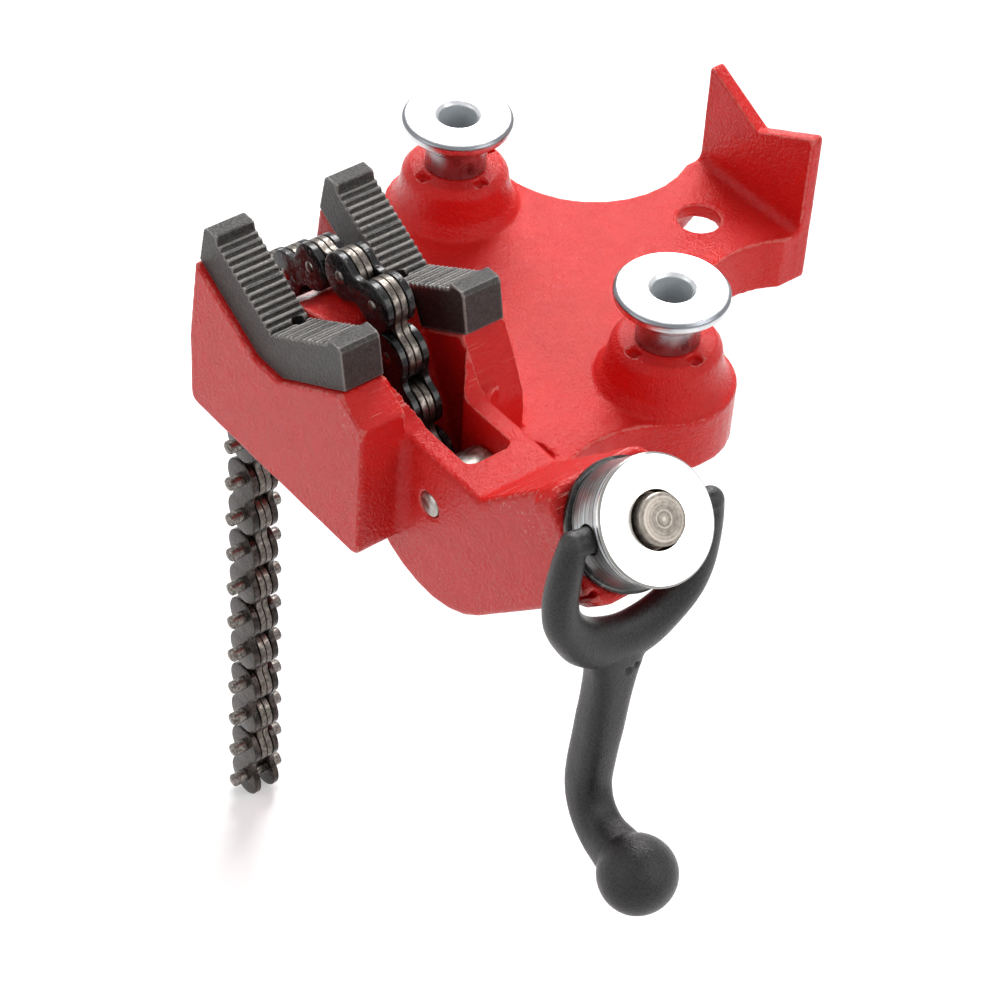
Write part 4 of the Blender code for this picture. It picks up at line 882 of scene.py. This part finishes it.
# The runs and marks are in millimetres from the nut's middle. A run gives across, forward, up, half width and
# half depth, and a mark gives across and up.
PRONG_RUN = [
    (26.9, 0, 0, 4.5, 4.5), (27.3, 0, -6, 5.1, 5.2), (27.6, 0, -14, 5.5, 5.7), (27.3, 0, -24, 5.9, 6.0),
    (25.0, 0, -33, 6.6, 6.2), (19.6, 0, -41.0, 7.6, 6.4), (11.5, 0, -47.5, 9.4, 6.6), (0, 0, -51.0, 10.6, 6.8)]
SHANK_RUN = [
    (0, 0, -50, 12.5, 6.6), (0, 0, -58, 10.6, 6.8), (0, 0, -66, 8.9, 7.1), (0, 0, -76, 8.1, 7.4),
    (0, 0, -92, 7.8, 7.6), (0, 0, -108, 7.6, 7.5), (0, 1.2, -117, 7.6, 7.4), (0, 5.6, -124.6, 7.6, 7.3),
    (0, 13.0, -128.9, 7.8, 7.5), (0, 22.0, -129.7, 8.6, 8.4), (0, 34.3, -129.7, 9.5, 9.5)]
PUNCH_MARKS = [(1.5, -59.5), (5.0, -58.6), (10.0, -57.8)]
BLACK_OXIDE = (0.013, 0.0125, 0.0125)
OXIDE_LIGHT = (0.042, 0.041, 0.042)
OXIDE_RUBBED = (0.16, 0.155, 0.15)
OXIDE_PITTING = 0.34 * mm


def swept(shape, run, flat=None, square=2.0, sides=28):
    """A bar along a run of stations, whose section is an oval that grows squarer with the exponent square.

    The section's width lies along flat, or else in the fork's plane.
    """
    spine = [Vector(station[:3]) * mm for station in run]
    rings = []
    for i, station in enumerate(run):
        way = (spine[min(i + 1, len(run) - 1)] - spine[max(i - 1, 0)]).normalized()
        wide = flat or Vector((0, 1, 0)).cross(way).normalized()
        deep = way.cross(wide).normalized()
        ring = []
        for n in range(sides):
            a = 2 * math.pi * n / sides
            c, s = math.cos(a), math.sin(a)
            c = math.copysign(abs(c) ** (2 / square), c) * station[3] * mm
            s = math.copysign(abs(s) ** (2 / square), s) * station[4] * mm
            ring.append(shape.verts.new(spine[i] + wide * c + deep * s))
        rings.append(ring)
    for one, two in zip(rings, rings[1:]):
        for n in range(sides):
            m = (n + 1) % sides
            shape.faces.new((one[n], one[m], two[m], two[n]))
    shape.faces.new(rings[0])
    shape.faces.new(list(reversed(rings[-1])))


def smooth_run(run, steps=4):
    """More stations between the given ones, on a Catmull-Rom curve."""
    rows = np.array([run[0], *run, run[-1]], float)
    made = []
    for i in range(1, len(rows) - 2):
        for k in range(steps):
            t = k / steps
            a, b, c, d = rows[i - 1:i + 3]
            made.append(0.5 * (2 * b + (c - a) * t + (2 * a - 5 * b + 4 * c - d) * t ** 2
                               + (3 * b - a - 3 * c + d) * t ** 3))
    return [tuple(row) for row in made] + [tuple(rows[-1])]


across_nut = fork_way.normalized()
up_fork = Vector((0, 0, 1))
up_fork = (up_fork - across_nut * up_fork.dot(across_nut)).normalized()
forward = across_nut.cross(up_fork)
handle_place = Matrix((across_nut, forward, up_fork)).transposed().to_4x4()
handle_place = Matrix.Translation(frame["joints"][2]["pos_m"]) @ handle_place

shape = bmesh.new()
left_run = [(-a, b, c, d, e) for a, b, c, d, e in reversed(PRONG_RUN[:-1])]
swept(shape, smooth_run(PRONG_RUN + left_run))
swept(shape, smooth_run(SHANK_RUN), Vector((1, 0, 0)), SHANK_SQUARENESS)
for side in (-1, 1):
    knob = Matrix.Translation((side * KNOB_AT, 0, 0))
    bmesh.ops.create_uvsphere(shape, u_segments=24, v_segments=16, radius=KNOB_R, matrix=knob)
    stub = Matrix.Translation((side * STUB_AT, 0, 0)) @ Matrix.Rotation(math.pi / 2, 4, "Y")
    bmesh.ops.create_cone(shape, cap_ends=True, segments=28, radius1=STUB_R, radius2=STUB_R, depth=STUB_LENGTH,
                          matrix=stub)
ball = Matrix.Translation(BALL_AT)
bmesh.ops.create_uvsphere(shape, u_segments=40, v_segments=28, radius=BALL_R, matrix=ball)
bmesh.ops.recalc_face_normals(shape, faces=shape.faces)
mesh = bpy.data.meshes.new("fork_handle")
shape.to_mesh(mesh)
shape.free()
handle = even_skin(show("fork_handle", mesh), HANDLE_VOXEL)
points = points_of(handle.data)
in_front = points[:, 1] > 1 * mm
for across, up in PUNCH_MARKS:
    gap = np.hypot(points[:, 0] - across * mm, points[:, 2] - up * mm)
    points[:, 1] -= PUNCH_DEPTH * np.exp(-(gap / PUNCH_R) ** 2) * in_front
handle.data.vertices.foreach_set("co", points.ravel())
foundry_finish(handle, None, HANDLE_ROUNDS, HANDLE_REACH, HANDLE_WAVE, HANDLE_WAVE_LENGTH)
handle.data.transform(handle_place)

oxide, tree, shader = finish_of("black oxide forging")
skin = group_in(tree, rough_skin, Coarse=1100.0, Fine=2600.0, Share=0.55)
rubbed = group_in(tree, worn_edge, Start=0.25, End=0.9, Patch=300.0, Patchy=0.5)
tone = blend_of(tree, step_of(tree, skin, 0.35, 0.72), BLACK_OXIDE, OXIDE_LIGHT)
wire(tree, shader, Base_Color=blend_of(tree, math_of(tree, "MULTIPLY", rubbed, 0.35), tone, OXIDE_RUBBED),
     Metallic=0.3, Roughness=step_of(tree, skin, 0.3, 0.7, 0.26, 0.42), Specular_IOR_Level=0.42,
     Normal=bump_of(tree, skin, OXIDE_PITTING))
dress(handle, oxide)
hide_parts("handle")
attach(handle, "handle")


# Studio
# A plain white floor in an even white room, under soft boxes above and behind, to the right and in front.
# The camera stands in front, to the right and above, with a long lens, as the photograph was taken.
FLOOR_Z = cad_box[0].z - 1 * mm
FLOOR_R = 6.0
FLOOR_GLOW = 0.32
ROOM_LIGHT = 0.38
EYE = Vector((0.65924, -0.49339, 0.74156))
AZIMUTH = math.radians(49.254)
ELEVATION = math.radians(43.196)
ROLL = math.radians(3.829)


def seen_of(tree):
    """1 where the surface is looked at, straight or in metal or glass, and 0 where it lights the piece."""
    ray = put(tree, "ShaderNodeLightPath").outputs
    seen = math_of(tree, "MAXIMUM", ray["Is Camera Ray"], ray["Is Glossy Ray"])
    return math_of(tree, "MAXIMUM", seen, ray["Is Transmission Ray"])


white_floor, tree, shader = finish_of("white floor")
wire(tree, shader, Base_Color=(0.86, 0.86, 0.86), Roughness=0.9, Specular_IOR_Level=0.0,
     Emission_Color=(1.0, 1.0, 1.0), Emission_Strength=math_of(tree, "MULTIPLY", seen_of(tree), FLOOR_GLOW))
bpy.ops.mesh.primitive_circle_add(vertices=64, radius=FLOOR_R, fill_type="NGON", location=(0, 0, FLOOR_Z))
floor = bpy.context.object
floor.name = "floor"
floor.data.materials.append(white_floor)

room = bpy.data.worlds.new("room")
bpy.context.scene.world = room
room.use_nodes = True
tree = room.node_tree
level = math_of(tree, "MULTIPLY_ADD", seen_of(tree), 1 - ROOM_LIGHT, ROOM_LIGHT)
tree.nodes["Background"].inputs["Color"].default_value = (1, 1, 1, 1)
tree.links.new(level, tree.nodes["Background"].inputs["Strength"])


def soft_box(name, place, aim, size, power):
    """A rectangular area lamp of this size and power in watts, turned towards aim."""
    lamp = bpy.data.lights.new(name, "AREA")
    lamp.shape = "RECTANGLE"
    lamp.size, lamp.size_y = size
    lamp.energy = power
    made = bpy.data.objects.new(name, lamp)
    bpy.context.scene.collection.objects.link(made)
    made.location = place
    made.rotation_euler = (Vector(aim) - Vector(place)).to_track_quat("-Z", "Y").to_euler()


soft_box("overhead", (-0.88, 0.84, 1.10), (0.0, 0.08, 0.0), (0.78, 0.68), 27.0)
soft_box("right", (1.15, 0.55, 0.80), (0.10, 0.0, 0.03), (0.7, 0.8), 6.0)
soft_box("front", (-0.25, -1.35, 0.60), (0.05, 0.0, 0.0), (1.0, 0.8), 4.0)

level_right = Vector((math.cos(AZIMUTH), math.sin(AZIMUTH), 0))
back = Vector((math.sin(AZIMUTH) * math.cos(ELEVATION), -math.cos(AZIMUTH) * math.cos(ELEVATION),
               math.sin(ELEVATION)))
level_up = back.cross(level_right)
camera_x = level_right * math.cos(ROLL) + level_up * math.sin(ROLL)
camera_y = level_up * math.cos(ROLL) - level_right * math.sin(ROLL)
lens = bpy.data.cameras.new("photo")
lens.sensor_width = 36.0
lens.lens = 110.4
lens.clip_start = 0.05
camera = bpy.data.objects.new("photo", lens)
bpy.context.scene.collection.objects.link(camera)
camera.matrix_world = Matrix.Translation(EYE) @ Matrix((camera_x, camera_y, back)).transposed().to_4x4()
bpy.context.scene.camera = camera
bpy.context.scene.view_settings.view_transform = "Standard"

bpy.context.view_layer.update()
